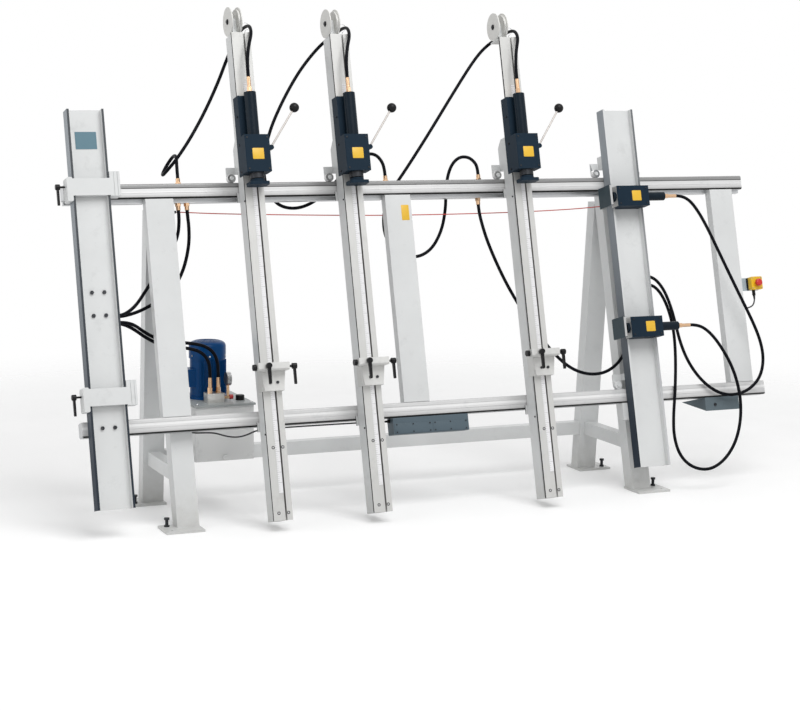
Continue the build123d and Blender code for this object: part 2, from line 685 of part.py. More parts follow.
def levelling_screw(x, y):
    """Levelling screw with its lock nut, standing in a foot plate."""
    top = FOOT_THICKNESS + SCREW_STANDING
    screw = rod_z(SCREW_THREAD, x, y, (0, top - SCREW_HEAD_HEIGHT))
    screw += Pos(x, y, top - SCREW_HEAD_HEIGHT) * extrude(hexagon(SCREW_HEAD), SCREW_HEAD_HEIGHT)
    nut = Pos(x, y, FOOT_THICKNESS) * extrude(hexagon(SCREW_HEAD), SCREW_NUT_HEIGHT)
    return screw, nut - rod_z(SCREW_THREAD, x, y, (FOOT_THICKNESS, FOOT_THICKNESS + SCREW_NUT_HEIGHT))


def web_bolt(x, s):
    """Hexagon bolt head on the web of the left beam."""
    return Pos(x, s, BEAM_WEB_FRONT) * extrude(hexagon(BOLT_HEAD), BOLT_HEAD_HEIGHT)


def make_fasteners():
    """Levelling screws, left beam bolts to the rails and the distributor block, and cord anchors."""
    pieces = []
    for side in (-1, 1):
        for y in (FRONT_FOOT_Y, REAR_FOOT_Y):
            pieces += levelling_screw(screw_x(side), screw_y(y))
    bolt_x = (LEFT_BEAM_X - BEAM_WIDTH / 6, LEFT_BEAM_X + BEAM_WIDTH / 6)
    block_high = DISTRIBUTOR_S + DISTRIBUTOR_HEIGHT / 3
    block_low = DISTRIBUTOR_S - DISTRIBUTOR_HEIGHT / 4
    heads = []
    for x in bolt_x:
        for s in (TOP_RAIL_S, LOWER_RAIL_S, block_high, block_low):
            heads.append(web_bolt(x, s))
    save("frame_fasteners", *pieces, *on_incline(*heads, *cord_anchors()))


def cord_reach():
    """How far the ends of the red cord are from the middle of the stands."""
    return (STAND_SPACING - LEG_WIDTH) / 2 - CORD_ANCHOR_OUT


def cord_anchors():
    """Two anchors on the fronts of the stands that hold the ends of the red cord."""
    depth = (-RAIL_DEPTH, 2 * CORD_D + RAIL_DEPTH)
    reach = cord_reach()
    far = reach + CORD_ANCHOR_LENGTH + CORD_ANCHOR_OUT
    left = box((-far, -reach), about(CORD_LEFT_S, CORD_ANCHOR), depth)
    right = box((reach, far), about(CORD_RIGHT_S, CORD_ANCHOR), depth)
    return left, right


# Posts between the rails and boxes below them

def post(x):
    """Hollow post that stands on the lower rail and carries the top rail."""
    high = (LOWER_RAIL_TOP, TOP_RAIL_BOTTOM)
    depth = (-POST_SETBACK - POST_DEPTH, -POST_SETBACK)
    bar = box(about(x, POST_WIDTH), high, depth)
    return bar - box(about(x, POST_WIDTH - 2 * POST_WALL), high, (depth[0] + POST_WALL, depth[1] - POST_WALL))


def gusset():
    """Wedge-shaped bracket under the lower rail, near its right end."""
    low = LOWER_RAIL_BOTTOM
    sides = []
    for x in (GUSSET_X - GUSSET_WIDTH / 2, GUSSET_X + GUSSET_WIDTH / 2 - GUSSET_WALL):
        corners = [(low, 0), (low - GUSSET_HEIGHT, 0), (low, -GUSSET_DEPTH)]
        profile = Polyline(*corners, close=True)
        sides.append(Pos(x, 0, 0) * extrude(Plane.YZ * make_face(profile), GUSSET_WALL))
    inside = (GUSSET_X - GUSSET_WIDTH / 2 + GUSSET_WALL, GUSSET_X + GUSSET_WIDTH / 2 - GUSSET_WALL)
    front = box(inside, (low - GUSSET_HEIGHT, low), (-GUSSET_WALL, 0))
    top = box(inside, (low - GUSSET_WALL, low), (-RAIL_DEPTH, -GUSSET_WALL))
    return front + top + sides[0] + sides[1]


def make_posts():
    """Three posts between the rails; control box and wedge bracket under the lower rail."""
    save("rail_posts", *on_incline(*[post(x) for x in POSTS]))
    low = LOWER_RAIL_BOTTOM
    body = box(about(CONTROL_BOX_X, CONTROL_BOX_WIDTH), (low - CONTROL_BOX_HEIGHT, low), (-RAIL_DEPTH, 0))
    body = fillet(body.edges().filter_by(Axis.X), RAIL_WALL)
    save("under_rail_boxes", *on_incline(body, gusset()))


# Beams with a web between two flanges

def flanged_beam(x, back, packed):
    """Beam with its web midway between front and back, and packing behind the web over the given heights."""
    inner = about(x, BEAM_WIDTH - 2 * BEAM_FLANGE_THICKNESS)
    length = (BEAM_BOTTOM_S, BEAM_TOP_S)
    beam = box(about(x, BEAM_WIDTH), length, (back, back + BEAM_FLANGE))
    beam -= box(inner, length, (back + BEAM_WEB_FRONT, back + BEAM_FLANGE))
    low = BEAM_BOTTOM_S
    for packing_low, packing_high in packed:
        beam -= box(inner, (low, packing_low), (back, back + BEAM_WEB_BACK))
        low = packing_high
    return beam - box(inner, (low, BEAM_TOP_S), (back, back + BEAM_WEB_BACK))


def make_left_beam():
    """Fixed beam with packing at the rails and the distributor, and a plain plate on its web."""
    rails = [about(s, RAIL_HEIGHT) for s in (LOWER_RAIL_S, TOP_RAIL_S)]
    beam = flanged_beam(LEFT_BEAM_X, 0, (rails[0], about(DISTRIBUTOR_S, DISTRIBUTOR_HEIGHT), rails[1]))
    plate_top = BEAM_TOP_S - PLATE_TOP_DROP
    plate_depth = (BEAM_WEB_FRONT, BEAM_WEB_FRONT + PLATE_THICKNESS)
    plate = box(about(LEFT_BEAM_X, PLATE_WIDTH), (plate_top - PLATE_HEIGHT, plate_top), plate_depth)
    save("left_beam", *on_incline(beam, plate))


def lever_arm(root_width, tip_width, length):
    """Flat tapered arm of a clamping lever, from the hub's axis down to its round tip."""
    sides = [(-root_width / 2, 0), (-tip_width / 2, -length), (tip_width / 2, -length), (root_width / 2, 0)]
    outline = make_face(Polyline(*sides, close=True)) + Pos(0, -length) * Circle(tip_width / 2)
    return extrude(outline, LEVER_ARM_THICKNESS / 2, both=True)


def clamp_lever(shown):
    """Clamping lever: its hub at z = 0, its arm hanging along -y and its stud along -z, partly shown."""
    hub = Pos(0, 0, LEVER_HUB_LENGTH / 2) * Cylinder(LEVER_HUB / 2, LEVER_HUB_LENGTH)
    hub = fillet(hub.edges().filter_by(GeomType.CIRCLE), LEVER_HUB / 8)
    arm = Pos(0, 0, LEVER_HUB_LENGTH / 2) * lever_arm(LEVER_ROOT_WIDTH, LEVER_TIP_WIDTH, LEVER_ARM)
    stud_length = shown + LEVER_STUD_SEAT
    stud = Pos(0, 0, -stud_length / 2) * Cylinder(LEVER_STUD / 2, stud_length)
    return hub + arm + stud


def stud_hole():
    """Bore for the seated length of a clamping lever's stud, from the surface along -z."""
    length = LEVER_STUD_SEAT + LEVER_STUD_SPARE
    return Pos(0, 0, -length / 2) * Cylinder(LEVER_STUD / 2 + RUNNING_GAP, length)


def collar(s):
    """Stop collar that slides on the left beam, with its two-layer pad on the right."""
    left = LEFT_BEAM_X - BEAM_WIDTH / 2 - SLIDE_GAP
    right = LEFT_BEAM_X + BEAM_WIDTH / 2 + SLIDE_GAP
    front = BEAM_FLANGE + SLIDE_GAP
    height = about(s, COLLAR_HEIGHT)
    strap = box((left, right), height, (front, front + COLLAR_STRAP))
    depth = (COLLAR_BACK, front + COLLAR_STRAP)
    cheek = box((left - COLLAR_CHEEK, left), about(s - COLLAR_CHEEK_DROP, COLLAR_CHEEK_HEIGHT), depth)
    cheek = fillet(cheek.edges().filter_by(Axis.Z), COLLAR_CHEEK / 4)
    pad_s = about(s + COLLAR_PAD_RISE, COLLAR_PAD_HEIGHT)
    block = box((right, right + COLLAR_BLOCK), pad_s, depth)
    jaw_width = BEAM_WIDTH - 2 * BEAM_FLANGE_THICKNESS - 2 * SLIDE_GAP
    jaw = box(about(LEFT_BEAM_X, jaw_width), height, (front - COLLAR_JAW_DEPTH, front))
    body = strap + cheek + block + jaw
    body -= collar_stud(s) * stud_hole()
    pad_left = right + COLLAR_BLOCK
    pad = box((pad_left, pad_left + COLLAR_PAD), pad_s, depth)
    pad = fillet(pad.edges().filter_by(Axis.Y).group_by(Axis.X)[-1], COLLAR_PAD / 6)
    groove_d = (front + COLLAR_STRAP - COLLAR_PAD_GROOVE, front + COLLAR_STRAP)
    body -= box((pad_left - 2 * COLLAR_PAD_GROOVE, pad_left - COLLAR_PAD_GROOVE), pad_s, groove_d)
    return body, pad - box(about(pad_left + COLLAR_PAD / 2, COLLAR_PAD_GROOVE), pad_s, groove_d)


def collar_stud(s):
    """Where a collar's lever stud enters its left cheek."""
    cheek_face = LEFT_BEAM_X - BEAM_WIDTH / 2 - SLIDE_GAP - COLLAR_CHEEK
    return Pos(cheek_face, s + COLLAR_HEIGHT / 10, BEAM_FLANGE / 2) * Rot(0, -90, 0)


def make_collars():
    """Both stop collars and their levers."""
    for name, s in (("upper", COLLAR_UPPER_S), ("lower", COLLAR_LOWER_S)):
        save(f"stop_collar_{name}", *on_incline(*collar(s)))
        lever = collar_stud(s) * Pos(0, 0, LEVER_STUD_SHOWN) * clamp_lever(LEVER_STUD_SHOWN)
        save(f"collar_lever_{name}", *on_incline(lever))


# Rollers that carry the clamps and the right beam along the rails

def roller_set(x, offset, rail_top):
    """Two flanged rollers on a rail, each on an arm behind it, tied by a bar above the rail."""
    axle_s = rail_top + SLIDE_GAP + ROLLER / 2
    front = -ROLLER_INSET
    back = front - ROLLER_WIDTH
    arm = (ROLLER_ARM_FRONT - ROLLER_ARM_THICKNESS, ROLLER_ARM_FRONT)
    bar_low = axle_s + ROLLER / 2 + ROLLER_BAR_GAP
    bar_s = (bar_low, bar_low + ROLLER_ARM_HEIGHT)
    carrier = box((x - offset - ROLLER_ARM_HEIGHT / 2, x + offset + ROLLER_ARM_HEIGHT / 2), bar_s, arm)
    pieces = []
    for middle in (x - offset, x + offset):
        carrier += box(about(middle, ROLLER_ARM_HEIGHT), (axle_s, bar_s[1]), arm)
        carrier += rod_d(ROLLER_ARM_HEIGHT, middle, axle_s, arm)
        carrier += rod_d(ROLLER_AXLE, middle, axle_s, (arm[1], front))
        carrier += rod_d(ROLLER_HEAD, middle, axle_s, (front, front + ROLLER_HEAD_HEIGHT))
        wheel = rod_d(ROLLER, middle, axle_s, (back, front - ROLLER_END_GAP))
        wheel = fillet(wheel.edges().filter_by(GeomType.CIRCLE), ROLLER_EDGE)
        pieces.append(wheel - rod_d(ROLLER_AXLE + 2 * RUNNING_GAP, middle, axle_s, (back, front)))
    return carrier, bar_s, arm, pieces


def hanger(x):
    """Hanger plate that reaches back over the top rail to the roller bar."""
    low = HANGER_BOTTOM + ROLLER / 2 + ROLLER_BAR_GAP
    back = ROLLER_ARM_FRONT
    corners = [(low, TUBE_GAP), (low, back), (HANGER_TOP - HANGER_CHAMFER, back), (HANGER_TOP, TUBE_GAP)]
    plate = extrude(Plane.YZ * make_face(Polyline(*corners, close=True)), CLAMP_WIDTH / 2, both=True)
    return Pos(x, 0, 0) * plate


def clamp_tube(x, top):
    """Painted tube at the back of a clamp, closed at both ends."""
    bar = box(about(x, CLAMP_WIDTH), (CLAMP_BOTTOM_S, top), (TUBE_GAP, TUBE_FRONT))
    inner = about(x, CLAMP_WIDTH - 2 * TUBE_WALL)
    hollow = (TUBE_GAP + TUBE_WALL, TUBE_FRONT - TUBE_WALL)
    return bar - box(inner, (CLAMP_BOTTOM_S + TUBE_WALL, top - TUBE_WALL), hollow)


def guide_pads(x):
    """Plastic pads on the tube's back that bear on the lower edges of both rails."""
    pads = []
    for edge in (TOP_RAIL_BOTTOM, LOWER_RAIL_BOTTOM):
        high = (edge - PAD_DROP, edge + RAIL_CORNER + PAD_LAP)
        pads.append(box(about(x, PAD_WIDTH), high, (SLIDE_GAP, TUBE_GAP)))
    return pads


def clamp_profile(x):
    """Hollow aluminium profile of a clamp: stem, wide flange, slot for the reel's wire, bed for the tape."""
    long = (CLAMP_BOTTOM_S, CLAMP_TOP_S)
    bar = box(about(x, CLAMP_WIDTH), long, (PROFILE_BACK, PROFILE_FRONT))
    bar += box(about(x, FLANGE_WIDTH), long, (PROFILE_FRONT - FLANGE_THICKNESS, PROFILE_FRONT))
    hollow = (PROFILE_BACK + PROFILE_WALL, PROFILE_FRONT - PROFILE_WALL)
    bar -= box(about(x, CLAMP_WIDTH - 2 * PROFILE_WALL), long, hollow)
    bar -= box(about(x + ROPE_SLOT_X, ROPE_SLOT), long, (hollow[1], PROFILE_FRONT))
    bed = about(x + TAPE_X, TAPE_WIDTH + 2 * TAPE_EDGE_GAP)
    return bar - box(bed, long, (PROFILE_FRONT - TAPE_RECESS, PROFILE_FRONT))


def clamp_tape(x):
    """Flat measuring tape in its bed on the front of the profile."""
    root = PROFILE_FRONT - TAPE_RECESS
    high = (TAPE_BOTTOM_S, TAPE_BOTTOM_S + TAPE_LENGTH)
    return box(about(x + TAPE_X, TAPE_WIDTH), high, (root, root + TAPE_THICKNESS))


def reel_bracket(x):
    """Cap plate and lug that carry the balance reel on top of a clamp."""
    base_s = (CLAMP_TOP_S, CLAMP_TOP_S + REEL_BASE)
    base = box(about(x, CLAMP_WIDTH), base_s, (TUBE_GAP, PROFILE_BACK + PROFILE_WALL))
    lug_x = about(x, REEL_LUG_WIDTH)
    lug = box(lug_x, (base_s[1], REEL_S), about(REEL_D, REEL_LUG_DEPTH))
    lug += rod_x(REEL_LUG_DEPTH, lug_x, REEL_S, REEL_D)
    return base + lug - rod_x(REEL_AXLE + 2 * RUNNING_GAP, lug_x, REEL_S, REEL_D)


def reel(x):
    """Balance reel: two discs, a drum for the wire and an axle, turning as one."""
    half = REEL_WIDTH / 2
    inner = REEL_LUG_WIDTH / 2 + SLIDE_GAP
    body = rod_x(REEL_AXLE, about(x, REEL_AXLE_LENGTH), REEL_S, REEL_D)
    body += rod_x(REEL, (x - half, x - half + REEL_DISC), REEL_S, REEL_D)
    body += rod_x(REEL, (x + half - REEL_DISC, x + half), REEL_S, REEL_D)
    body += rod_x(REEL_HUB, (x - half + REEL_DISC, x - inner), REEL_S, REEL_D)
    body += rod_x(REEL_DRUM, (x + inner, x + half - REEL_DISC), REEL_S, REEL_D)
    return body


def make_clamp(number, x):
    """One vertical clamp: tube, hanger and rollers, aluminium profile with its strip, and its reel."""
    carrier, _, _, wheels = roller_set(x, ROLLER_OFFSET, TOP_RAIL_TOP)
    top = CLAMP_TOP_S if number < len(CLAMPS) else HANGER_TOP
    tube = clamp_tube(x, top)
    spacer = box(about(x, SPACER_WIDTH), (CLAMP_BOTTOM_S, top), (TUBE_FRONT, PROFILE_BACK))
    save(f"clamp_beam_{number}", *on_incline(tube, hanger(x), carrier, spacer, *guide_pads(x), *wheels))
    save(f"clamp_profile_{number}", *on_incline(clamp_profile(x), clamp_tape(x), reel_bracket(x)))
    save(f"balance_reel_{number}", *on_incline(reel(x)))


# Press heads

def profile_shoe(x, s):
    """Shoe that slides on the aluminium profile: a front plate and two cheeks."""
    inside = FLANGE_WIDTH / 2 + SLIDE_GAP
    outside = inside + SHOE_WALL
    back = SHOE_FRONT_D - SHOE_FRONT - SHOE_CHEEK_DEPTH
    shoe = box((x - outside, x + outside), s, (back, SHOE_FRONT_D))
    return shoe - box((x - inside, x + inside), s, (back, PROFILE_FRONT + SLIDE_GAP))


def fitting_s(x, s, d):
    """Brass hose fitting that stands up the incline from s."""
    hexagonal = Pos(x, s, d) * Rot(-90, 0, 0) * extrude(hexagon(FITTING), FITTING_HEX_LENGTH)
    top = s + FITTING_HEX_LENGTH
    return hexagonal + rod_s(FITTING_SLEEVE, x, (top, top + FITTING_SLEEVE_LENGTH), d)


def release_pivot(x):
    """Point that a head's release lever turns about."""
    return (x + HEAD_WIDTH / 2 + RELEASE_OUT, RELEASE_S, (SHOE_FRONT_D + HEAD_FRONT_D) / 2 + HEAD_DEPTH / 10)


def press_head(x):
    """Press head: shoe with a tongue for the reel's wire, block, barrel and release lever lugs."""
    shoe_top = HEAD_S + SHOE_LENGTH
    shoe = profile_shoe(x, (HEAD_S, shoe_top))
    right_of_barrel = (x + BARREL / 2, x + HEAD_WIDTH / 2)
    shoe -= box(right_of_barrel, (HEAD_TOP_S, shoe_top), (PROFILE_BACK, SHOE_FRONT_D))
    tongue_back = PROFILE_BACK + PROFILE_WALL + TONGUE_GAP
    tongue_s = (shoe_top - TONGUE_HEIGHT, shoe_top)
    shoe += box(about(x + ROPE_SLOT_X, TONGUE_WIDTH), tongue_s, (tongue_back, SHOE_FRONT_D))
    block = box(about(x, HEAD_WIDTH), (HEAD_S, HEAD_TOP_S), (SHOE_FRONT_D, HEAD_FRONT_D))
    block = chamfer(block.edges().filter_by(Axis.Y).group_by(Axis.Z)[-1], HEAD_CHAMFER)
    barrel = rod_s(BARREL, x, (HEAD_TOP_S, BARREL_TOP_S), BARREL_D)
    barrel = fillet(barrel.edges().filter_by(GeomType.CIRCLE).group_by(Axis.Y)[-1], BARREL / 20)
    gland = rod_s(GLAND, x, (HEAD_S - GLAND_LENGTH, HEAD_S), BARREL_D)
    px, ps, pd = release_pivot(x)
    body = shoe + block + barrel + gland
    half = RELEASE_HUB_LENGTH / 2 + SLIDE_GAP
    for side in (-1, 1):
        near, far = pd + side * half, pd + side * (half + RELEASE_LUG)
        depth = (min(near, far), max(near, far))
        body += box((x + HEAD_WIDTH / 2, px), about(ps, RELEASE_HUB), depth)
        body += rod_d(RELEASE_HUB, px, ps, depth)
    body += rod_d(RELEASE_PIN, px, ps, (pd - half, pd + half))
    bore = ROD + 2 * RUNNING_GAP
    return body - rod_s(bore, x, (HEAD_S - GLAND_LENGTH, BARREL_TOP_S - BARREL_END), BARREL_D)


def release_lever(x):
    """Bright lever with a ball knob that frees a head on its profile."""
    px, ps, pd = release_pivot(x)
    hub = rod_d(RELEASE_HUB, px, ps, about(pd, RELEASE_HUB_LENGTH))
    arm = Pos(px, ps, pd) * Rot(0, 0, RELEASE_ANGLE) * rod_x(RELEASE_ROD, (0, RELEASE_LENGTH), 0, 0)
    arm += Pos(px, ps, pd) * Rot(0, 0, RELEASE_ANGLE) * Pos(RELEASE_LENGTH, 0, 0) * Sphere(RELEASE_BALL / 2)
    return hub + arm - rod_d(RELEASE_PIN + 2 * RUNNING_GAP, px, ps, about(pd, RELEASE_HUB_LENGTH))


def press_ram(x):
    """Ram of a press head with its foot plate."""
    top = PRESS_FOOT_TOP + PRESS_FOOT_BOSS
    ram = rod_s(ROD, x, (PRESS_FOOT_TOP, PRESS_FOOT_TOP + ROD_IN_BARREL), BARREL_D)
    ram += rod_s(GLAND, x, (PRESS_FOOT_TOP, top), BARREL_D)
    back = PROFILE_FRONT + PRESS_FOOT_STANDOFF
    depth = (back, back + PRESS_FOOT_DEPTH)
    foot = box(about(x, PRESS_FOOT_WIDTH), (PRESS_FOOT_TOP - PRESS_FOOT_THICKNESS, PRESS_FOOT_TOP), depth)
    return ram, fillet(foot.edges().filter_by(Axis.Y), PRESS_FOOT_THICKNESS)


def make_head(number, x):
    """A press head, its ram and its release lever."""
    save(f"press_head_{number}", *on_incline(press_head(x), fitting_s(x, BARREL_TOP_S, BARREL_D)))
    save(f"press_ram_{number}", *on_incline(*press_ram(x)))
    save(f"release_lever_{number}", *on_incline(release_lever(x)))


# Lower stops

def front_stud(x):
    """Where a lower stop's front lever enters the ledge."""
    return Pos(x + STOP_LEVER_X, LEDGE_BOTTOM_S + LEDGE_HEIGHT * STOP_LEVER_SHARE, LEDGE_FRONT_D)


def lower_stop(x):
    """Lower stop: shoe, ledge that the work stands on, and the shield in front."""
    shoe = profile_shoe(x, (STOP_BOTTOM_S, STOP_TOP_S))
    ledge_x = (x - LEDGE_LEFT, x - LEDGE_LEFT + LEDGE_LENGTH)
    ledge = box(ledge_x, (LEDGE_BOTTOM_S, STOP_TOP_S), (SHOE_FRONT_D, LEDGE_FRONT_D))
    ledge = chamfer(ledge.edges().filter_by(Axis.X).group_by(Axis.Y)[0], LEDGE_HEIGHT / 5)
    half_top, half_low = SHIELD_TOP_WIDTH / 2, SHIELD_BOTTOM_WIDTH / 2
    corners = [(-half_top, LEDGE_BOTTOM_S), (-half_low, STOP_BOTTOM_S), (half_low, STOP_BOTTOM_S),
               (half_top, LEDGE_BOTTOM_S)]
    shield = extrude(make_face(Polyline(*corners, close=True)), SHIELD_THICKNESS)
    body = shoe + ledge + Pos(x, 0, SHOE_FRONT_D) * shield
    body -= rod_x(SPINDLE + 2 * RUNNING_GAP, ledge_x, SPINDLE_S, SPINDLE_D)
    return body - front_stud(x) * stud_hole()


def stop_bolts(x):
    """Two bolt heads on the shield of a lower stop."""
    middle = STOP_BOTTOM_S + SHIELD_HEIGHT * STOP_BOLT_SHARE
    front = SHOE_FRONT_D + SHIELD_THICKNESS
    places = (x - STOP_BOLT_SPACING / 2, x + STOP_BOLT_SPACING / 2)
    return [rod_d(STOP_BOLT, place, middle, (front, front + STOP_BOLT_HEIGHT)) for place in places]


def spindle_lever(x):
    """Cross spindle of a lower stop: knob on the left end and clamping lever on the right."""
    left = x - LEDGE_LEFT - SLIDE_GAP
    right = x - LEDGE_LEFT + LEDGE_LENGTH
    spindle = rod_x(SPINDLE, (left, right + LEVER_STUD_SHOWN), SPINDLE_S, SPINDLE_D)
    knob = rod_x(SPINDLE_KNOB, (left - SPINDLE_KNOB_LENGTH, left), SPINDLE_S, SPINDLE_D)
    handle = Pos(right + LEVER_STUD_SHOWN, SPINDLE_S, SPINDLE_D) * Rot(0, 90, 0) * stop_handle()
    return spindle, knob, handle


def stop_handle():
    """Handle of a cross spindle: a hub along z and an arm hanging along -y."""
    hub = Pos(0, 0, LEVER_HUB_LENGTH / 2) * Cylinder(LEVER_HUB / 2, LEVER_HUB_LENGTH)
    arm = Pos(0, 0, LEVER_HUB_LENGTH / 2) * lever_arm(LEVER_ROOT_WIDTH, LEVER_TIP_WIDTH, LEVER_ARM)
    return hub + arm


def make_stop(number, x):
    """A lower stop with its front lever and its cross spindle."""
    save(f"lower_stop_{number}", *on_incline(lower_stop(x), *stop_bolts(x)))
    shown = LEVER_STUD_SHOWN / 4
    lever = front_stud(x) * Pos(0, 0, shown) * clamp_lever(shown)
    save(f"stop_lever_{number}", *on_incline(lever))
    save(f"stop_spindle_{number}", *on_incline(*spindle_lever(x)))


# Right beam and its side heads

def beam_saddle(rail_top, top_bar):
    """Roller carrier of the right beam on one rail, tied to the flanges above the rail."""
    carrier, bar_s, arm, wheels = roller_set(RIGHT_BEAM_X, BEAM_ROLLER_OFFSET, rail_top)
    bridge = box(about(RIGHT_BEAM_X, BEAM_WIDTH), (bar_s[0], bar_s[1] + top_bar), (arm[0], RIGHT_BEAM_BACK))
    return [carrier + bridge] + wheels


def make_right_beam():
    """Sliding beam, its roller saddles on both rails and its keepers below the lower rail."""
    beam = flanged_beam(RIGHT_BEAM_X, RIGHT_BEAM_BACK, (about(MANIFOLD_S, MANIFOLD_HEIGHT),))
    keepers = []
    for side in (-1, 1):
        outer = RIGHT_BEAM_X + side * (BEAM_WIDTH / 2 + KEEPER_WIDTH / 2)
        inner = outer - side * KEEPER_WIDTH
        high = LOWER_RAIL_BOTTOM - SLIDE_GAP
        keepers.append(box((min(inner, outer), max(inner, outer)), (high - KEEPER_HEIGHT, high),
                           (-RAIL_DEPTH / 2, RIGHT_BEAM_BACK)))
    saddles = beam_saddle(TOP_RAIL_TOP, ROLLER_ARM_HEIGHT) + beam_saddle(LOWER_RAIL_TOP, 0)
    save("right_beam", *on_incline(beam, *keepers, *saddles, *manifold()))


def side_block_x():
    """Left and right faces of a side head's block."""
    left = RIGHT_BEAM_X - SIDE_BLOCK_LEFT
    return (left, left + SIDE_BLOCK_WIDTH)


def side_head(s):
    """Side head: a shoe between the flanges, a block across its front, a level barrel and a gland."""
    inner = BEAM_WIDTH - 2 * BEAM_FLANGE_THICKNESS - 2 * SLIDE_GAP
    height = about(s, SIDE_BLOCK_HEIGHT)
    shoe_back = RIGHT_BEAM_BACK + BEAM_WEB_FRONT + SLIDE_GAP
    shoe = box(about(RIGHT_BEAM_X, inner), height, (shoe_back, SIDE_BLOCK_BACK))
    left, right = side_block_x()
    block = box((left, right), height, (SIDE_BLOCK_BACK, SIDE_BLOCK_BACK + SIDE_BLOCK_DEPTH))
    block = chamfer(block.edges().filter_by(Axis.Y).group_by(Axis.Z)[-1], HEAD_CHAMFER)
    barrel = rod_x(SIDE_BARREL, (right, right + SIDE_BARREL_LENGTH), s, SIDE_AXIS_D)
    bore = SIDE_ROD + 2 * RUNNING_GAP
    gland = rod_x(SIDE_GLAND, (left - SIDE_GLAND_LENGTH, left), s, SIDE_AXIS_D)
    hollow = rod_x(bore, (left - SIDE_GLAND_LENGTH, right + SIDE_BARREL_LENGTH - BARREL_END), s, SIDE_AXIS_D)
    return shoe + block + barrel + gland - hollow


def side_fitting(s):
    """Brass fitting on the end of a side barrel."""
    start = side_block_x()[1] + SIDE_BARREL_LENGTH
    hexagonal = Pos(start, s, SIDE_AXIS_D) * Rot(0, 90, 0) * extrude(hexagon(FITTING), FITTING_HEX_LENGTH)
    end = start + FITTING_HEX_LENGTH
    return hexagonal + rod_x(FITTING_SLEEVE, (end, end + FITTING_SLEEVE_LENGTH), s, SIDE_AXIS_D)


def side_ram(s):
    """Ram of a side head with its foot plate on the left."""
    left = side_block_x()[0]
    face = left - SIDE_ROD_SHOWN
    ram = rod_x(SIDE_ROD, (face, left + SIDE_ROD_INSIDE), s, SIDE_AXIS_D)
    depth = about(SIDE_AXIS_D, SIDE_FOOT_DEPTH)
    foot = box((face - SIDE_FOOT_THICKNESS, face), about(s, SIDE_FOOT_HEIGHT), depth)
    return ram, fillet(foot.edges().filter_by(Axis.X), SIDE_FOOT_THICKNESS / 2)


def make_side_heads():
    """Both side heads and their rams."""
    for name, s in (("upper", SIDE_UPPER_S), ("lower", SIDE_LOWER_S)):
        save(f"side_head_{name}", *on_incline(side_head(s), side_fitting(s)))
        save(f"side_ram_{name}", *on_incline(*side_ram(s)))


# Power unit

def make_tank():
    """Oil tank, lid, motor, pump, valve block and the small fittings on them."""
    x = about(TANK_X, TANK_WIDTH)
    y = (TANK_FRONT_Y, TANK_FRONT_Y + TANK_DEPTH)
    tank = box(x, y, (TANK_BOTTOM_Z, TANK_TOP_Z))
    inner_x = about(TANK_X, TANK_WIDTH - 2 * TANK_WALL)
    inner_y = (y[0] + TANK_WALL, y[1] - TANK_WALL)
    tank -= box(inner_x, inner_y, (TANK_BOTTOM_Z + TANK_WALL, TANK_TOP_Z))
    save("oil_tank", tank)
    lid_x = about(TANK_X, TANK_WIDTH + 2 * LID_LIP)
    lid = box(lid_x, (y[0] - LID_LIP, y[1] + LID_LIP), (TANK_TOP_Z, LID_TOP_Z))
    lid -= rod_z(PUMP_SHAFT, MOTOR_X, MOTOR_Y, (TANK_TOP_Z, LID_TOP_Z))
    save("tank_lid", lid)


def make_motor():
    """Upright motor: flange, body with its terminal box, and round fan cover."""
    z = LID_TOP_Z
    flange = rod_z(MOTOR_FLANGE, MOTOR_X, MOTOR_Y, (z, z + MOTOR_FLANGE_THICKNESS))
    z += MOTOR_FLANGE_THICKNESS
    body = rod_z(MOTOR, MOTOR_X, MOTOR_Y, (z, z + MOTOR_BODY_LENGTH))
    middle = z + MOTOR_BODY_LENGTH / 2
    terminal = box(about(MOTOR_X - MOTOR / 2, MOTOR / 3), about(MOTOR_Y, MOTOR / 2), about(middle, MOTOR / 2))
    z += MOTOR_BODY_LENGTH
    cover = rod_z(MOTOR_FAN_COVER, MOTOR_X, MOTOR_Y, (z, z + MOTOR_FAN_LENGTH))
    cover = fillet(cover.edges().filter_by(GeomType.CIRCLE).group_by(Axis.Z)[-1], MOTOR_FAN_ROUND)
    save("pump_motor", flange + body + terminal + cover)


def make_pump():
    """Gear pump under the lid, with its shaft, suction pipe and strainer in the oil."""
    shaft = rod_z(PUMP_SHAFT - 2 * RUNNING_GAP, MOTOR_X, MOTOR_Y, (TANK_TOP_Z, LID_TOP_Z))
    pump = box(about(MOTOR_X, PUMP), about(MOTOR_Y, PUMP), (TANK_TOP_Z - PUMP_LENGTH, TANK_TOP_Z))
    pump = fillet(pump.edges().filter_by(Axis.Z), PUMP / 6)
    strainer_z = TANK_BOTTOM_Z + TANK_WALL + STRAINER_FLOOR_GAP
    strainer = rod_z(STRAINER, MOTOR_X, MOTOR_Y, (strainer_z, strainer_z + STRAINER_HEIGHT))
    pipe = rod_z(SUCTION_PIPE, MOTOR_X, MOTOR_Y, (strainer_z + STRAINER_HEIGHT, TANK_TOP_Z - PUMP_LENGTH))
    save("gear_pump", pump + shaft + pipe + strainer)


def upright_fitting(x, y, z):
    """Brass hose fitting standing on a port."""
    hexagonal = Pos(x, y, z) * extrude(hexagon(FITTING), FITTING_HEX_LENGTH)
    top = z + FITTING_HEX_LENGTH
    return hexagonal + rod_z(FITTING_SLEEVE, x, y, (top, top + FITTING_SLEEVE_LENGTH))


def port_x(side):
    """Place of a valve port along x."""
    return VALVE_X + side * PORT_SPACING / 2


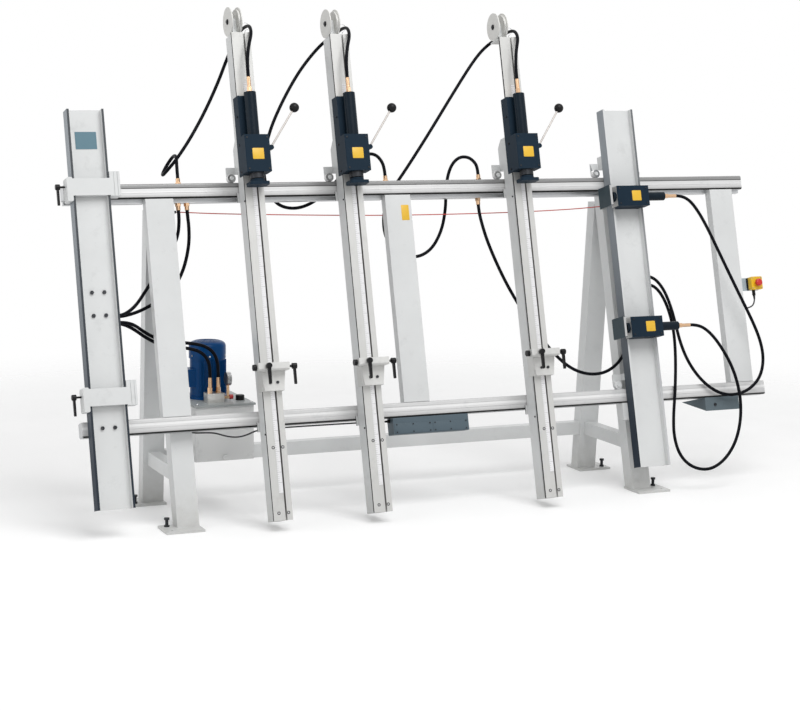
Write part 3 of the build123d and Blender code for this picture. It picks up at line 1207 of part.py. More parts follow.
def valve_block():
    """Valve block on the lid, with two hose fittings."""
    top = LID_TOP_Z + VALVE_HEIGHT
    body = box(about(VALVE_X, VALVE_WIDTH), about(VALVE_Y, VALVE_DEPTH), (LID_TOP_Z, top))
    body = chamfer(body.edges().filter_by(Axis.Z), VALVE_CHAMFER)
    return body, upright_fitting(port_x(-1), VALVE_Y, top), upright_fitting(port_x(1), VALVE_Y, top)


def make_tank_fittings():
    """Valve block, pressure gauge on its elbow, relief knob, filler cap and drain plug."""
    right = VALVE_X + VALVE_WIDTH / 2
    middle = LID_TOP_Z + VALVE_HEIGHT / 2
    front = VALVE_Y - VALVE_DEPTH / 4
    elbow_x = right + GAUGE_DEPTH
    stem = box((right, elbow_x + GAUGE_STEM / 2), about(front, GAUGE_STEM), about(middle, GAUGE_STEM))
    gauge_z = middle + GAUGE_RISE
    stem += rod_z(GAUGE_STEM, elbow_x, front, (middle, gauge_z))
    dial = Pos(elbow_x, front, gauge_z) * Rot(0, 90, 0) * Cylinder(GAUGE / 2, GAUGE_DEPTH)
    knob_x = (elbow_x + GAUGE_STEM / 2, elbow_x + GAUGE_STEM / 2 + VALVE_KNOB_LENGTH)
    knob = rod_x(VALVE_KNOB, knob_x, front, middle)
    cap = rod_z(FILLER, FILLER_X, FILLER_Y, (LID_TOP_Z, LID_TOP_Z + FILLER_HEIGHT))
    cap = fillet(cap.edges().filter_by(GeomType.CIRCLE).group_by(Axis.Z)[-1], FILLER / 8)
    drain_z = TANK_BOTTOM_Z + DRAIN_RISE
    drain = Pos(TANK_X, TANK_FRONT_Y, drain_z) * Rot(90, 0, 0) * extrude(hexagon(DRAIN), DRAIN_LENGTH)
    save("tank_fittings", *valve_block(), stem + dial, knob, cap, drain)


# Oil line in the top rail

def make_oil_line():
    """Oil pipe inside the top rail with its unions, and the distributor block behind the left beam."""
    ends = TOP_UNION_X + LOW_UNION_X
    pipe = rod_x(LINE, (min(ends) - LINE, max(ends) + LINE), TOP_RAIL_S, LINE_D)
    for x in TOP_UNION_X:
        pipe += union_stack(x, TOP_RAIL_TOP, 1)
    for x in LOW_UNION_X:
        pipe += union_stack(x, LOW_UNION_S, -1)
    save("oil_line", *on_incline(pipe, *distributor()))


def side_port(x, s, d):
    """Hose port that points along x from a block's face."""
    hexagonal = Pos(x, s, d) * Rot(0, 90, 0) * extrude(hexagon(UNION_SLEEVE), PORT_HEX_LENGTH)
    end = x + PORT_HEX_LENGTH
    return hexagonal + rod_x(UNION, (end, end + PORT_SLEEVE_LENGTH), s, d)


def distributor():
    """Distributor block bolted behind the left beam, and its four hose ports."""
    x = about(LEFT_BEAM_X, DISTRIBUTOR_WIDTH)
    block = box(x, about(DISTRIBUTOR_S, DISTRIBUTOR_HEIGHT), (-DISTRIBUTOR_DEPTH, 0))
    ports = [side_port(x[1], s, d) for s in DISTRIBUTOR_PORT_S for d in DISTRIBUTOR_PORT_D]
    return [block] + ports


def manifold():
    """Manifold block on the back of the right beam: two ports to the side and one below."""
    x = about(RIGHT_BEAM_X + MANIFOLD_X, MANIFOLD_WIDTH)
    s = about(MANIFOLD_S, MANIFOLD_HEIGHT)
    block = box(x, s, (RIGHT_BEAM_BACK - MANIFOLD_DEPTH, RIGHT_BEAM_BACK))
    ports = [side_port(x[1], place, MANIFOLD_PORT_D) for place in about(MANIFOLD_S, MANIFOLD_PORT_SPACING)]
    middle = RIGHT_BEAM_X + MANIFOLD_X
    low = s[0] - PORT_HEX_LENGTH
    below = extrude(hexagon(UNION_SLEEVE), PORT_HEX_LENGTH)
    below = Pos(middle, s[0], MANIFOLD_PORT_D) * Rot(90, 0, 0) * below
    below += rod_s(UNION, middle, (low - PORT_SLEEVE_LENGTH, low), MANIFOLD_PORT_D)
    return [block, below] + ports


def union_stack(x, face, way):
    """One union from the pipe out to a face: stem, hexagon outside and hose sleeve."""
    stem = rod_s(UNION, x, (min(TOP_RAIL_S, face), max(TOP_RAIL_S, face)), LINE_D)
    hexagonal = Pos(x, face, LINE_D) * Rot(-90 * way, 0, 0) * extrude(hexagon(UNION_HEX), UNION_HEX_LENGTH)
    near = face + way * UNION_HEX_LENGTH
    far = near + way * UNION_SLEEVE_LENGTH
    return stem + hexagonal + rod_s(UNION_SLEEVE, x, (min(near, far), max(near, far)), LINE_D)


# Emergency stop

def estop_x():
    """Left and right faces of the emergency stop's box."""
    left = END_POST_FACE + ESTOP_REACH
    return (left, left + ESTOP_SIZE)


def make_estop():
    """Emergency stop: plate on the end post, black base, yellow cover and cable gland."""
    x = estop_x()
    middle = (x[0] + x[1]) / 2
    s = about(ESTOP_S, ESTOP_SIZE)
    back = ESTOP_FRONT_D - ESTOP_DEPTH
    split = back + ESTOP_BASE_SHARE
    base = box(x, s, (back, split))
    base = fillet(base.edges().filter_by(Axis.Z), ESTOP_CORNER)
    cover = box(x, s, (split, ESTOP_FRONT_D))
    cover = fillet(cover.edges().filter_by(Axis.Z), ESTOP_CORNER)
    seat = (ESTOP_FRONT_D - ESTOP_STEM_SEAT, ESTOP_FRONT_D)
    cover -= rod_d(ESTOP_STEM + 2 * RUNNING_GAP, middle, ESTOP_S, seat)
    plate = box((END_POST_FACE, x[1]), s, (back - ESTOP_PLATE, back))
    gland_s = (s[0] - GLAND_NUT_LENGTH, s[0])
    nut = rod_s(GLAND_NUT, middle, gland_s, (back + split) / 2)
    save("estop_box", *on_incline(base, cover, plate, nut))
    stem = (ESTOP_FRONT_D - ESTOP_STEM_SEAT / 2, ESTOP_FRONT_D + ESTOP_STEM_HEIGHT)
    button = rod_d(ESTOP_STEM, middle, ESTOP_S, stem)
    head = rod_d(ESTOP_BUTTON, middle, ESTOP_S, (stem[1], stem[1] + ESTOP_BUTTON_HEIGHT))
    head = fillet(head.edges().filter_by(GeomType.CIRCLE).group_by(Axis.Z)[-1], ESTOP_BUTTON_HEIGHT / 2)
    save("estop_button", *on_incline(button + head))


# Hoses and lines

def lead(port, diameter):
    """Point straight out of a port, so that a hose leaves it square."""
    end, way = port
    length = LEAD_DIAMETERS * diameter
    return tuple(place + length * step for place, step in zip(end, way))


def hose(name, start, route, end, diameter):
    """Tube between two ports along straight runs and arcs, each arc as large as its runs allow."""
    points = [start[0], lead(start, diameter), *route, lead(end, diameter), end[0]]
    stops = [Vector(*point) for point in points]
    radii = []
    for before, here, after in zip(stops, stops[1:], stops[2:]):
        run_in = here - before
        run_out = after - here
        half_turn = radians(run_in.get_angle(run_out) / 2)
        radii.append(ARC_SHARE * min(run_in.length, run_out.length) / tan(half_turn))
    path = FilletPolyline(*stops, radius=radii)
    section = Plane(origin=path @ 0, z_dir=path % 0) * Circle(diameter / 2)
    tube = sweep(section, path=path)
    share = tube.volume / (pi * diameter ** 2 / 4 * path.length)
    print(name, "length", round(path.length), "share", round(share, 3), "least radius", round(min(radii)))
    return tube


def to_incline(x, y, z):
    """A point of the part's frame, as (x, s, d)."""
    away = y - PLANE_Y
    return (x, away * SIN + z * COS, z * SIN - away * COS)


def valve_port(side):
    """Upright hose port of the valve block."""
    top = LID_TOP_Z + VALVE_HEIGHT + FITTING_HEX_LENGTH + FITTING_SLEEVE_LENGTH
    return to_incline(port_x(side), VALVE_Y, top), (0, COS, SIN)


def side_head_port(s):
    """Hose port of a side head."""
    end = side_block_x()[1] + SIDE_BARREL_LENGTH + FITTING_HEX_LENGTH + FITTING_SLEEVE_LENGTH
    return (end, s, SIDE_AXIS_D), (1, 0, 0)


def press_head_port(x):
    """Hose port of a press head."""
    return (x, BARREL_TOP_S + FITTING_HEX_LENGTH + FITTING_SLEEVE_LENGTH, BARREL_D), (0, 1, 0)


def distributor_port(row, column):
    """One hose port of the distributor block."""
    end = LEFT_BEAM_X + DISTRIBUTOR_WIDTH / 2 + PORT_HEX_LENGTH + PORT_SLEEVE_LENGTH
    return (end, DISTRIBUTOR_PORT_S[row], DISTRIBUTOR_PORT_D[column]), (1, 0, 0)


def manifold_port(way):
    """One of the manifold's side ports."""
    end = RIGHT_BEAM_X + MANIFOLD_X + MANIFOLD_WIDTH / 2 + PORT_HEX_LENGTH + PORT_SLEEVE_LENGTH
    return (end, MANIFOLD_S + way * MANIFOLD_PORT_SPACING / 2, MANIFOLD_PORT_D), (1, 0, 0)


def manifold_feed():
    """The manifold's lower port."""
    low = MANIFOLD_S - MANIFOLD_HEIGHT / 2 - PORT_HEX_LENGTH - PORT_SLEEVE_LENGTH
    return (RIGHT_BEAM_X + MANIFOLD_X, low, MANIFOLD_PORT_D), (0, -1, 0)


def top_union(number):
    """One of the unions above the top rail."""
    end = TOP_RAIL_TOP + UNION_HEX_LENGTH + UNION_SLEEVE_LENGTH
    return (TOP_UNION_X[number], end, LINE_D), (0, 1, 0)


def low_union(number):
    """One of the unions below the top rail."""
    end = LOW_UNION_S - UNION_HEX_LENGTH - UNION_SLEEVE_LENGTH
    return (LOW_UNION_X[number], end, LINE_D), (0, -1, 0)


def make_head_hoses():
    """Hoses from the press heads, past the reels and down to the unions on the top rail."""
    falls = (HOSE_1_FALL, HOSE_2_FALL, HOSE_3_FALL)
    for index, x in enumerate(CLAMPS):
        name = f"head_hose_{index + 1}"
        port = press_head_port(x)
        rise = [tuple(place + step for place, step in zip(port[0], point)) for point in HOSE_RISE]
        save(name, *on_incline(hose(name, port, rise + list(falls[index]), top_union(index), HOSE)))


def make_side_hoses():
    """Feed hose to the right beam and the hoses from its manifold to the side heads."""
    feed = hose("side_feed_hose", low_union(2), FEED_ROUTE, manifold_feed(), HOSE)
    save("side_feed_hose", *on_incline(feed))
    upper = hose("side hose upper", side_head_port(SIDE_UPPER_S), SIDE_UPPER_ROUTE, manifold_port(1), HOSE)
    lower = hose("side hose lower", side_head_port(SIDE_LOWER_S), SIDE_LOWER_ROUTE, manifold_port(-1), HOSE)
    save("side_hoses", *on_incline(upper, lower))


def make_supply_hoses():
    """Hoses from the pump to the distributor block and on to the top rail."""
    lines = (
        (valve_port(-1), PUMP_OUT_ROUTE, distributor_port(0, 1)),
        (valve_port(1), PUMP_BACK_ROUTE, distributor_port(0, 0)),
        (distributor_port(1, 1), RAIL_FEED_ROUTE, low_union(1)),
        (distributor_port(1, 0), RAIL_BACK_ROUTE, low_union(0)),
    )
    save("supply_hoses", *on_incline(*[hose("supply hose", *line, HOSE) for line in lines]))


def make_control_lines():
    """Red cord between the stands, motor cable and emergency stop cable."""
    left_anchor = (-cord_reach(), CORD_LEFT_S, CORD_D), (1, 0, 0)
    right_anchor = (cord_reach(), CORD_RIGHT_S, CORD_D), (-1, 0, 0)
    cord = hose("red cord", left_anchor, CORD_ROUTE, right_anchor, CORD)
    box_side = (CONTROL_BOX_X - CONTROL_BOX_WIDTH / 2, MOTOR_CABLE_S, MOTOR_CABLE_D), (-1, 0, 0)
    terminal_z = LID_TOP_Z + MOTOR_FLANGE_THICKNESS + MOTOR_BODY_LENGTH / 2
    terminal = to_incline(MOTOR_X - MOTOR / 2 - MOTOR / 6, MOTOR_Y, terminal_z), (-1, 0, 0)
    motor = hose("motor cable", box_side, MOTOR_CABLE_ROUTE, terminal, CABLE)
    gland_d = ESTOP_FRONT_D - ESTOP_DEPTH + ESTOP_BASE_SHARE / 2
    gland_s = ESTOP_S - ESTOP_SIZE / 2 - GLAND_NUT_LENGTH
    gland = (sum(estop_x()) / 2, gland_s, gland_d), (0, -1, 0)
    post_side = (END_POST_FACE, ESTOP_CABLE_S, ESTOP_CABLE_D), (1, 0, 0)
    stop = hose("stop cable", gland, ESTOP_CABLE_ROUTE, post_side, CABLE)
    save("control_lines", *on_incline(cord, motor, stop))


os.makedirs("parts", exist_ok=True)
make_rails()
make_stand("left_stand", -1)
make_stand("right_stand", 1)
make_crossmembers()
make_fasteners()
make_posts()
make_left_beam()
make_collars()
for number, clamp_x in enumerate(CLAMPS, start=1):
    make_clamp(number, clamp_x)
    make_head(number, clamp_x)
    make_stop(number, clamp_x)
make_right_beam()
make_side_heads()
make_tank()
make_motor()
make_pump()
make_tank_fittings()
make_oil_line()
make_estop()
make_head_hoses()
make_side_hoses()
make_supply_hoses()
make_control_lines()
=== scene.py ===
import math

import bmesh
import bpy
import numpy as np
from bpy.props import FloatProperty, FloatVectorProperty, PointerProperty
from mathutils import Matrix, Vector


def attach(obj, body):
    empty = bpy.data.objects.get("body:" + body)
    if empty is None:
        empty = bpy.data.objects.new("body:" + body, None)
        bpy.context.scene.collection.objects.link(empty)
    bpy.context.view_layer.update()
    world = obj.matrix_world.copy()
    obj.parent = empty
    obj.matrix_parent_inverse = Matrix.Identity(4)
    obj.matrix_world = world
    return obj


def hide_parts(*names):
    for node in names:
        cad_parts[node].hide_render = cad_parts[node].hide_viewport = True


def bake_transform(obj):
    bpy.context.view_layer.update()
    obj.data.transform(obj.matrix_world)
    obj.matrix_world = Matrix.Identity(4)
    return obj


bl_info = {
    "name": "Frame assembly press",
    "version": (1, 0, 0),
    "blender": (4, 5, 0),
    "location": "3D View > Sidebar > Press",
    "description": "Dresses a leaning press that squares and clamps wooden window frames",
    "category": "Object",
}

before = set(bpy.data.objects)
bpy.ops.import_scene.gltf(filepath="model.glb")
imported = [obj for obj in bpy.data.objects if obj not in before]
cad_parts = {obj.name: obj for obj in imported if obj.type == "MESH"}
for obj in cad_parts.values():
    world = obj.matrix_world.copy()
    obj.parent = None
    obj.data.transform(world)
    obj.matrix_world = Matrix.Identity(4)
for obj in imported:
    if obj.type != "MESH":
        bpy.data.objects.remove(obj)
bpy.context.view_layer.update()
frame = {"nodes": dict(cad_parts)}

# The working plane leans back. Places on it are (x, s, d) in millimetres: along the rails, up the
# incline, and out of it towards the operator.
MM = 0.001
LEAN = math.radians(15)
SIN, COS = math.sin(LEAN), math.cos(LEAN)
PLANE_Y = -406.557
INCLINE = Matrix((
    (MM, 0, 0, 0),
    (0, MM * SIN, -MM * COS, MM * PLANE_Y),
    (0, MM * COS, MM * SIN, 0),
    (0, 0, 0, 1),
))
UPRIGHT = Matrix.Diagonal((MM, MM, MM, 1))
UP, DOWN, LEFT, RIGHT, OUT = (0, 1, 0), (0, -1, 0), (-1, 0, 0), (1, 0, 0), (0, 0, 1)
PLUMB = (0, COS, SIN)
CREASE = math.radians(35)

# Places on the part that several steps share.
CLAMPS = (-845, -327, 614)
TOP_RAIL, LOWER_RAIL, RAIL_HALF = 1660, 524, 37.5
ROLLER_SIDE, ROLLER_S = 58, 1719.8
REEL_S, REEL_D = 2496, 45
HEAD_AXIS, HEAD_FRONT, HEAD_PORT_S = 204, 251, 2176
SIDE_HEADS = {"upper": 1568, "lower": 870}
SIDE_AXIS, SIDE_FRONT = 110.8, 145.3
UNION_TOP, UNION_FOOT, UNION_D = 1731.5, 1573.5, -56
HOSE_GUIDE_D = 44

# Hose and line routes, as in the part's source.
HOSE_RISE = ((4, 92, -2), (18, 158, -8), (44, 226, -22), (60, 281, -82), (62, 298, -158), (57, 293, -232))
HOSE_FALLS = (
    ((-803, 2430, -85), (-843, 2340, -118), (-893, 2235, -112), (-975, 2090, -95), (-1060, 1960, -78),
     (-1125, 1872, -72), (-1171, 1815, -80), (-1199, 1783, -110), (-1208, 1770, -152), (-1199, 1783, -194),
     (-1175, 1820, -212), (-1151, 1857, -194), (-1142, 1870, -150), (-1147, 1852, -104), (-1159, 1808, -70)),
    ((-318, 2440, -90), (-385, 2375, -110), (-470, 2275, -115), (-565, 2130, -118), (-645, 1980, -122),
     (-690, 1830, -125), (-690, 1700, -125), (-640, 1605, -125), (-545, 1580, -125), (-440, 1612, -125),
     (-340, 1690, -122), (-245, 1780, -112), (-180, 1832, -98), (-135, 1856, -85), (-95, 1848, -72),
     (-69, 1808, -60)),
    ((620, 2445, -90), (545, 2375, -110), (410, 2200, -118), (230, 1955, -135), (90, 1770, -160),
     (5, 1665, -180), (-38, 1560, -186), (-40, 1440, -190), (20, 1355, -190), (120, 1322, -188),
     (210, 1360, -175), (270, 1455, -155), (296, 1565, -135), (302, 1670, -120), (317, 1748, -109),
     (345, 1805, -99), (386, 1836, -88), (430, 1830, -73), (458, 1797, -61)),
)
TOP_UNIONS = (-1164, -62, 465)
FEED_ROUTE = (
    (455, 1480, -52), (475, 1385, -50), (518, 1262, -52), (575, 1130, -55), (650, 995, -58), (735, 860, -60),
    (825, 748, -60), (910, 680, -60), (1010, 650, -60), (1110, 660, -60), (1195, 715, -60), (1260, 810, -56),
    (1295, 915, -40), (1303, 975, -26))
SIDE_UPPER_ROUTE = (
    (1628, 1545, 104), (1672, 1490, 102), (1722, 1400, 98), (1790, 1245, 92), (1880, 1040, 86),
    (1965, 855, 80), (2000, 745, 74), (2005, 655, 66), (1978, 572, 56), (1915, 515, 46), (1840, 490, 38),
    (1762, 492, 30), (1686, 528, 24), (1615, 597, 20), (1560, 690, 16), (1530, 790, 12), (1518, 890, 6),
    (1506, 990, -4), (1482, 1080, -14), (1444, 1138, -20))
SIDE_LOWER_ROUTE = (
    (1630, 853, 104), (1680, 808, 104), (1730, 735, 104), (1775, 645, 104), (1802, 545, 104),
    (1810, 440, 102), (1795, 330, 97), (1755, 225, 88), (1685, 140, 75), (1595, 95, 62), (1500, 115, 48),
    (1437, 185, 36), (1420, 290, 26), (1435, 400, 20), (1462, 520, 16), (1488, 640, 4), (1508, 760, -8),
    (1516, 870, -18), (1505, 970, -26), (1478, 1048, -28), (1440, 1096, -24))
PUMP_OUT_ROUTE = (
    (-1038, 836, -203), (-1059, 873, -195), (-1098, 898, -190), (-1152, 911, -187), (-1222, 919, -182),
    (-1300, 936, -173), (-1370, 970, -146), (-1428, 1003, -108), (-1478, 1022, -74))
PUMP_BACK_ROUTE = (
    (-994, 842, -202), (-1012, 884, -194), (-1050, 914, -189), (-1105, 930, -186), (-1172, 938, -183),
    (-1245, 949, -178), (-1315, 966, -166), (-1375, 993, -133), (-1428, 1020, -88), (-1475, 1029, -48))
RAIL_FEED_ROUTE = (
    (-1482, 1067, -72), (-1438, 1079, -104), (-1385, 1097, -142), (-1320, 1126, -172), (-1245, 1168, -182),
    (-1185, 1220, -176), (-1148, 1285, -156), (-1128, 1358, -126), (-1120, 1430, -94), (-1124, 1502, -68))
RAIL_BACK_ROUTE = (
    (-1485, 1073, -46), (-1443, 1097, -84), (-1398, 1132, -130), (-1350, 1185, -170), (-1298, 1250, -188),
    (-1243, 1325, -191), (-1195, 1390, -184), (-1172, 1436, -152), (-1168, 1470, -112), (-1171, 1504, -78))
CORD_ROUTE = ((-955, 1554, -69), (-320, 1534, -69), (72, 1528, -69), (617, 1530, -69), (1000, 1541, -69))
MOTOR_CABLE_ROUTE = (
    (-230, 476, -45), (-500, 478, -44), (-820, 478, -43), (-880, 472, -42), (-930, 452, -41),
    (-985, 444, -40), (-1040, 455, -40), (-1090, 474, -40), (-1145, 478, -42), (-1178, 481, -68),
    (-1184, 490, -125), (-1184, 530, -190), (-1182, 590, -245), (-1180, 665, -295), (-1174, 730, -334),
    (-1158, 770, -358))
STOP_CABLE_ROUTE = ((2058, 1002, -35), (2045, 979, -33), (2019, 967, -29))


# Properties

def tint(name, description, default):
    return FloatVectorProperty(name=name, description=description, default=default, subtype="COLOR",
                               min=0, max=1)


def length(name, description, default):
    return FloatProperty(name=name, description=description, default=default, unit="LENGTH", min=0)


def power(name, description, default):
    return FloatProperty(name=name, description=description, default=default, unit="POWER", min=0)


class PressColours(bpy.types.PropertyGroup):
    """Paint and plastic colours."""
    frame: tint("Frame enamel", "Stands, rails' posts, beams and clamps", (0.700, 0.712, 0.712))
    head: tint("Head enamel", "Press heads and side heads", (0.011, 0.024, 0.040))
    box: tint("Box enamel", "Control box under the lower rail", (0.095, 0.130, 0.155))
    motor: tint("Motor enamel", "Pump motor", (0.001, 0.055, 0.190))
    plate: tint("Plate", "Bare plate on the left beam", (0.075, 0.180, 0.235))
    patch: tint("Patch", "Plain patches on the heads and the centre post", (0.800, 0.480, 0.030))
    stop_cover: tint("Stop box cover", "Cover of the emergency stop", (0.830, 0.520, 0.020))
    stop_button: tint("Stop button", "Mushroom button", (0.600, 0.015, 0.012))
    cord: tint("Cord", "Cord along the top rail", (0.560, 0.045, 0.030))
    hose: tint("Hose", "Hydraulic hose cover", (0.005, 0.0055, 0.008))
    reel: tint("Reel", "Balance reel discs", (0.720, 0.715, 0.690))


class PressSizes(bpy.types.PropertyGroup):
    """Sizes of the soft lines and of the tape's lines."""
    hose: length("Hose", "Outside diameter of the hydraulic hoses", 0.017)
    cord: length("Cord", "Diameter of the red cord", 0.005)
    cable: length("Cable", "Diameter of the electric cables", 0.008)
    wire: length("Wire", "Diameter of the balance wires", 0.002)
    tick: length("Tape tick", "Spacing of the lines on the measuring tapes", 0.010)


class PressStudio(bpy.types.PropertyGroup):
    """Light and floor."""
    key: power("Key lamp", "Power of the large lamp", 540)
    side: power("Side lamp", "Power of the lamp on the left", 75)
    sky: FloatProperty(name="Sky", description="Strength of the light from all round", default=0.55, min=0)
    floor: tint("Floor", "Floor colour", (0.90, 0.90, 0.90))


# Places and meshes

def at(x, s, d):
    """World place of a point on the incline."""
    return INCLINE @ Vector((x, s, d))


def facing(place, way, space=INCLINE):
    """Matrix that puts a shape made along Z at a place, looking along a way."""
    turn = Vector(way).to_track_quat("Z", "Y").to_matrix().to_4x4()
    return space @ Matrix.Translation(place) @ turn


def swept(shape, geom, angle, steps, **manner):
    """Turn part of a mesh about Z, as a skin or as copies."""
    bmesh.ops.spin(shape, geom=geom, axis=(0, 0, 1), cent=(0, 0, 0), dvec=(0, 0, 0), angle=angle,
                   steps=steps, **manner)


def turned(profile, steps=24):
    """Round shape about Z from (radius, height) points, closed or from the axis back to it."""
    shape = bmesh.new()
    corners = [shape.verts.new((radius, 0, height)) for radius, height in profile]
    edges = [shape.edges.new(pair) for pair in zip(corners, corners[1:])]
    swept(shape, corners + edges, 2 * math.pi, steps, use_merge=True)
    bmesh.ops.remove_doubles(shape, verts=shape.verts, dist=0.001)
    bmesh.ops.recalc_face_normals(shape, faces=shape.faces)
    return shape


def repeated(shape, angle, steps):
    """Copies of a whole mesh about Z, the last one at the angle."""
    swept(shape, shape.verts[:] + shape.edges[:] + shape.faces[:], angle, steps, use_duplicate=True)


def rounded(shape, geom, offset, segments, affect="EDGES"):
    bmesh.ops.bevel(shape, geom=geom, offset=offset, segments=segments, profile=0.5, affect=affect,
                    material=-1)


def block(size, edge=0.0):
    """Box that stands on Z = 0, with soft edges."""
    shape = bmesh.new()
    bmesh.ops.create_cube(shape, size=1)
    bmesh.ops.translate(shape, vec=(0, 0, 0.5), verts=shape.verts)
    bmesh.ops.scale(shape, vec=size, verts=shape.verts)
    if edge:
        rounded(shape, shape.edges[:], edge, 1)
    return shape


def plate(width, height, thickness, corner):
    """Flat plate with round corners and a soft front edge."""
    shape = bmesh.new()
    bmesh.ops.create_grid(shape, x_segments=1, y_segments=1, size=0.5)
    bmesh.ops.scale(shape, vec=(width, height, 1), verts=shape.verts)
    rounded(shape, shape.verts[:], corner, 5, "VERTICES")
    raised = bmesh.ops.extrude_face_region(shape, geom=shape.faces[:])
    top = [item for item in raised["geom"] if isinstance(item, bmesh.types.BMVert)]
    bmesh.ops.translate(shape, vec=(0, 0, thickness), verts=top)
    bmesh.ops.recalc_face_normals(shape, faces=shape.faces)
    face = max(shape.faces, key=lambda item: item.calc_center_median().z)
    rounded(shape, list(face.edges), thickness * 0.4, 2)
    return shape


def cap_screw(width, height):
    """Round screw head with a socket."""
    half = width / 2
    return turned(((0, 0), (half, 0), (half, height * 0.85), (half * 0.88, height), (half * 0.52, height),
                   (half * 0.50, height * 0.5), (0, height * 0.45)), 18)


def hex_bolt(width, height):
    """Hexagon bolt head on its washer."""
    half, washer = width * 0.5, width * 0.68
    shape = turned(((0, 0), (washer, 0), (washer, height * 0.2), (half, height * 0.25), (0, height * 0.25)))
    add(shape, turned(((0, height * 0.2), (half, height * 0.2), (half, height * 0.88),
                       (width * 0.42, height), (0, height)), 6))
    return shape


def add(target, shape, place=None):
    """Put one mesh, placed, into another."""
    if place is not None:
        bmesh.ops.transform(shape, matrix=place, verts=shape.verts)
    carrier = bpy.data.meshes.new("carrier")
    shape.to_mesh(carrier)
    target.from_mesh(carrier)
    bpy.data.meshes.remove(carrier)
    shape.free()


def show(name, mesh, finish_name, body):
    """Object for a finished mesh, riding on a body."""
    mesh.materials.clear()
    mesh.materials.append(finish(finish_name))
    piece = bpy.data.objects.new(name, mesh)
    bpy.context.scene.collection.objects.link(piece)
    if body:
        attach(piece, body)
    return piece


def make_piece(name, shape, finish_name, body, place=None):
    """Finished object from a mesh, set in its place and smooth up to the crease angle."""
    if place is not None:
        bmesh.ops.transform(shape, matrix=place, verts=shape.verts)
    for edge in shape.edges:
        edge.smooth = len(edge.link_faces) == 2 and edge.calc_face_angle() < CREASE
    for face in shape.faces:
        face.smooth = True
    mesh = bpy.data.meshes.new(name)
    shape.to_mesh(mesh)
    shape.free()
    show(name, mesh, finish_name, body)


def make_set(name, finish_name, body, slot, *sets, space=INCLINE):
    """Piece of like shapes, each set given as (maker, its sizes, places, the way that they look)."""
    whole = bmesh.new()
    for maker, sizes, places, way in sets:
        for place in places:
            add(whole, maker(*sizes), facing(place, way, space))
    make_piece(name, whole, finish_name, body)


def beside(x, places):
    """Places given from a clamp's middle."""
    return [(x + side, s, d) for side, s, d in places]


def dress(solid, base, *areas, space=INCLINE):
    """Finishes for a CAD node: a base, then areas given as (finish, test of the face middles in mm)."""
    mesh = frame["nodes"][solid].data
    count = len(mesh.polygons)
    middles = np.empty(count * 3)
    mesh.polygons.foreach_get("center", middles)
    inverse = np.array(space.inverted())
    places = middles.reshape(-1, 3) @ inverse[:3, :3].T + inverse[:3, 3]
    index = np.zeros(count, dtype=np.int32)
    mesh.materials.clear()
    mesh.materials.append(finish(base))
    for number, (name, test) in enumerate(areas, 1):
        mesh.materials.append(finish(name))
        index[test(*places.T)] = number
    mesh.polygons.foreach_set("material_index", index)
    mesh.update()


def within(value, low, high):
    return (value > low) & (value < high)


# Soft lines

def step(port, distance):
    """Point a distance straight out of a port, which is a place and a way."""
    return tuple(place + distance * share for place, share in zip(*port))


def between(start, route, end, diameter):
    """Control points of a line from port to port."""
    lead = 2 * diameter / MM
    return [start[0], step(start, lead), *route, step(end, lead), end[0]]


def curve_object(name, kind, places, diameter):
    """Curve with one spline over places, as a round line or a bare one."""
    data = bpy.data.curves.new(name, "CURVE")
    data.dimensions = "3D"
    spline = data.splines.new(kind)
    spline.points.add(len(places) - 1)
    for knot, place in zip(spline.points, places):
        knot.co = (*place, 1)
    data.bevel_depth = diameter / 2
    data.bevel_resolution = 4
    data.use_fill_caps = True
    return bpy.data.objects.new(name, data)


def line_curve(name, points, diameter=0.0):
    """Smooth curve with these control points on the incline."""
    curve = curve_object(name, "NURBS", [at(*point) for point in points], diameter)
    spline = curve.data.splines[0]
    spline.order_u = 3
    spline.use_endpoint_u = True
    spline.resolution_u = 8
    return curve


def centreline(points):
    """Places along the smooth curve with these control points."""
    guide = line_curve("route", points)
    mesh = bpy.data.meshes.new_from_object(guide)
    places = [vertex.co.copy() for vertex in mesh.vertices]
    bpy.data.meshes.remove(mesh)
    bpy.data.objects.remove(guide)
    return places


def tube(name, places, diameter):
    """Round mesh tube along places."""
    guide = curve_object(name, "POLY", places, diameter)
    mesh = bpy.data.meshes.new_from_object(guide)
    bpy.data.objects.remove(guide)
    mesh.name = name
    mesh.polygons.foreach_set("use_smooth", [True] * len(mesh.polygons))
    return mesh


def measure(places):
    return sum((after - before).length for before, after in zip(places, places[1:]))


def fixed_line(name, points, diameter, finish_name, node):
    """Line whose two ends both stay on the stand."""
    line = line_curve(name, points, diameter)
    line.data.materials.append(finish(finish_name))
    bpy.context.scene.collection.objects.link(line)
    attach(line, "frame")
    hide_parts(node)
    measure(centreline(points))


def moving_line(name, places, diameter, node, finish_name="hose_cover"):
    """Line from its first place on one body to its last on another."""
    line = show(name, tube(name, places, diameter), finish_name, None)
    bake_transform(line)
    if node:
        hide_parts(node)


# Shader groups

def feed(tree, sockets, values):
    """Link outputs to sockets, or set the sockets' own values."""
    for key, value in values.items():
        if isinstance(value, bpy.types.NodeSocket):
            tree.links.new(value, sockets[key])
        else:
            sockets[key].default_value = value


def new_node(tree, kind, values=None, **settings):
    """Shader node with its settings and its sockets fed."""
    made = tree.nodes.new("ShaderNode" + kind)
    for key, value in settings.items():
        setattr(made, key, value)
    feed(tree, made.inputs, values or {})
    return made


def noise(tree, place, **values):
    """Cloud noise from 0 to 1."""
    return new_node(tree, "TexNoise", {"Vector": place, **values}).outputs["Fac"]


def sums(tree, operation, *values):
    return new_node(tree, "Math", dict(enumerate(values)), operation=operation).outputs[0]


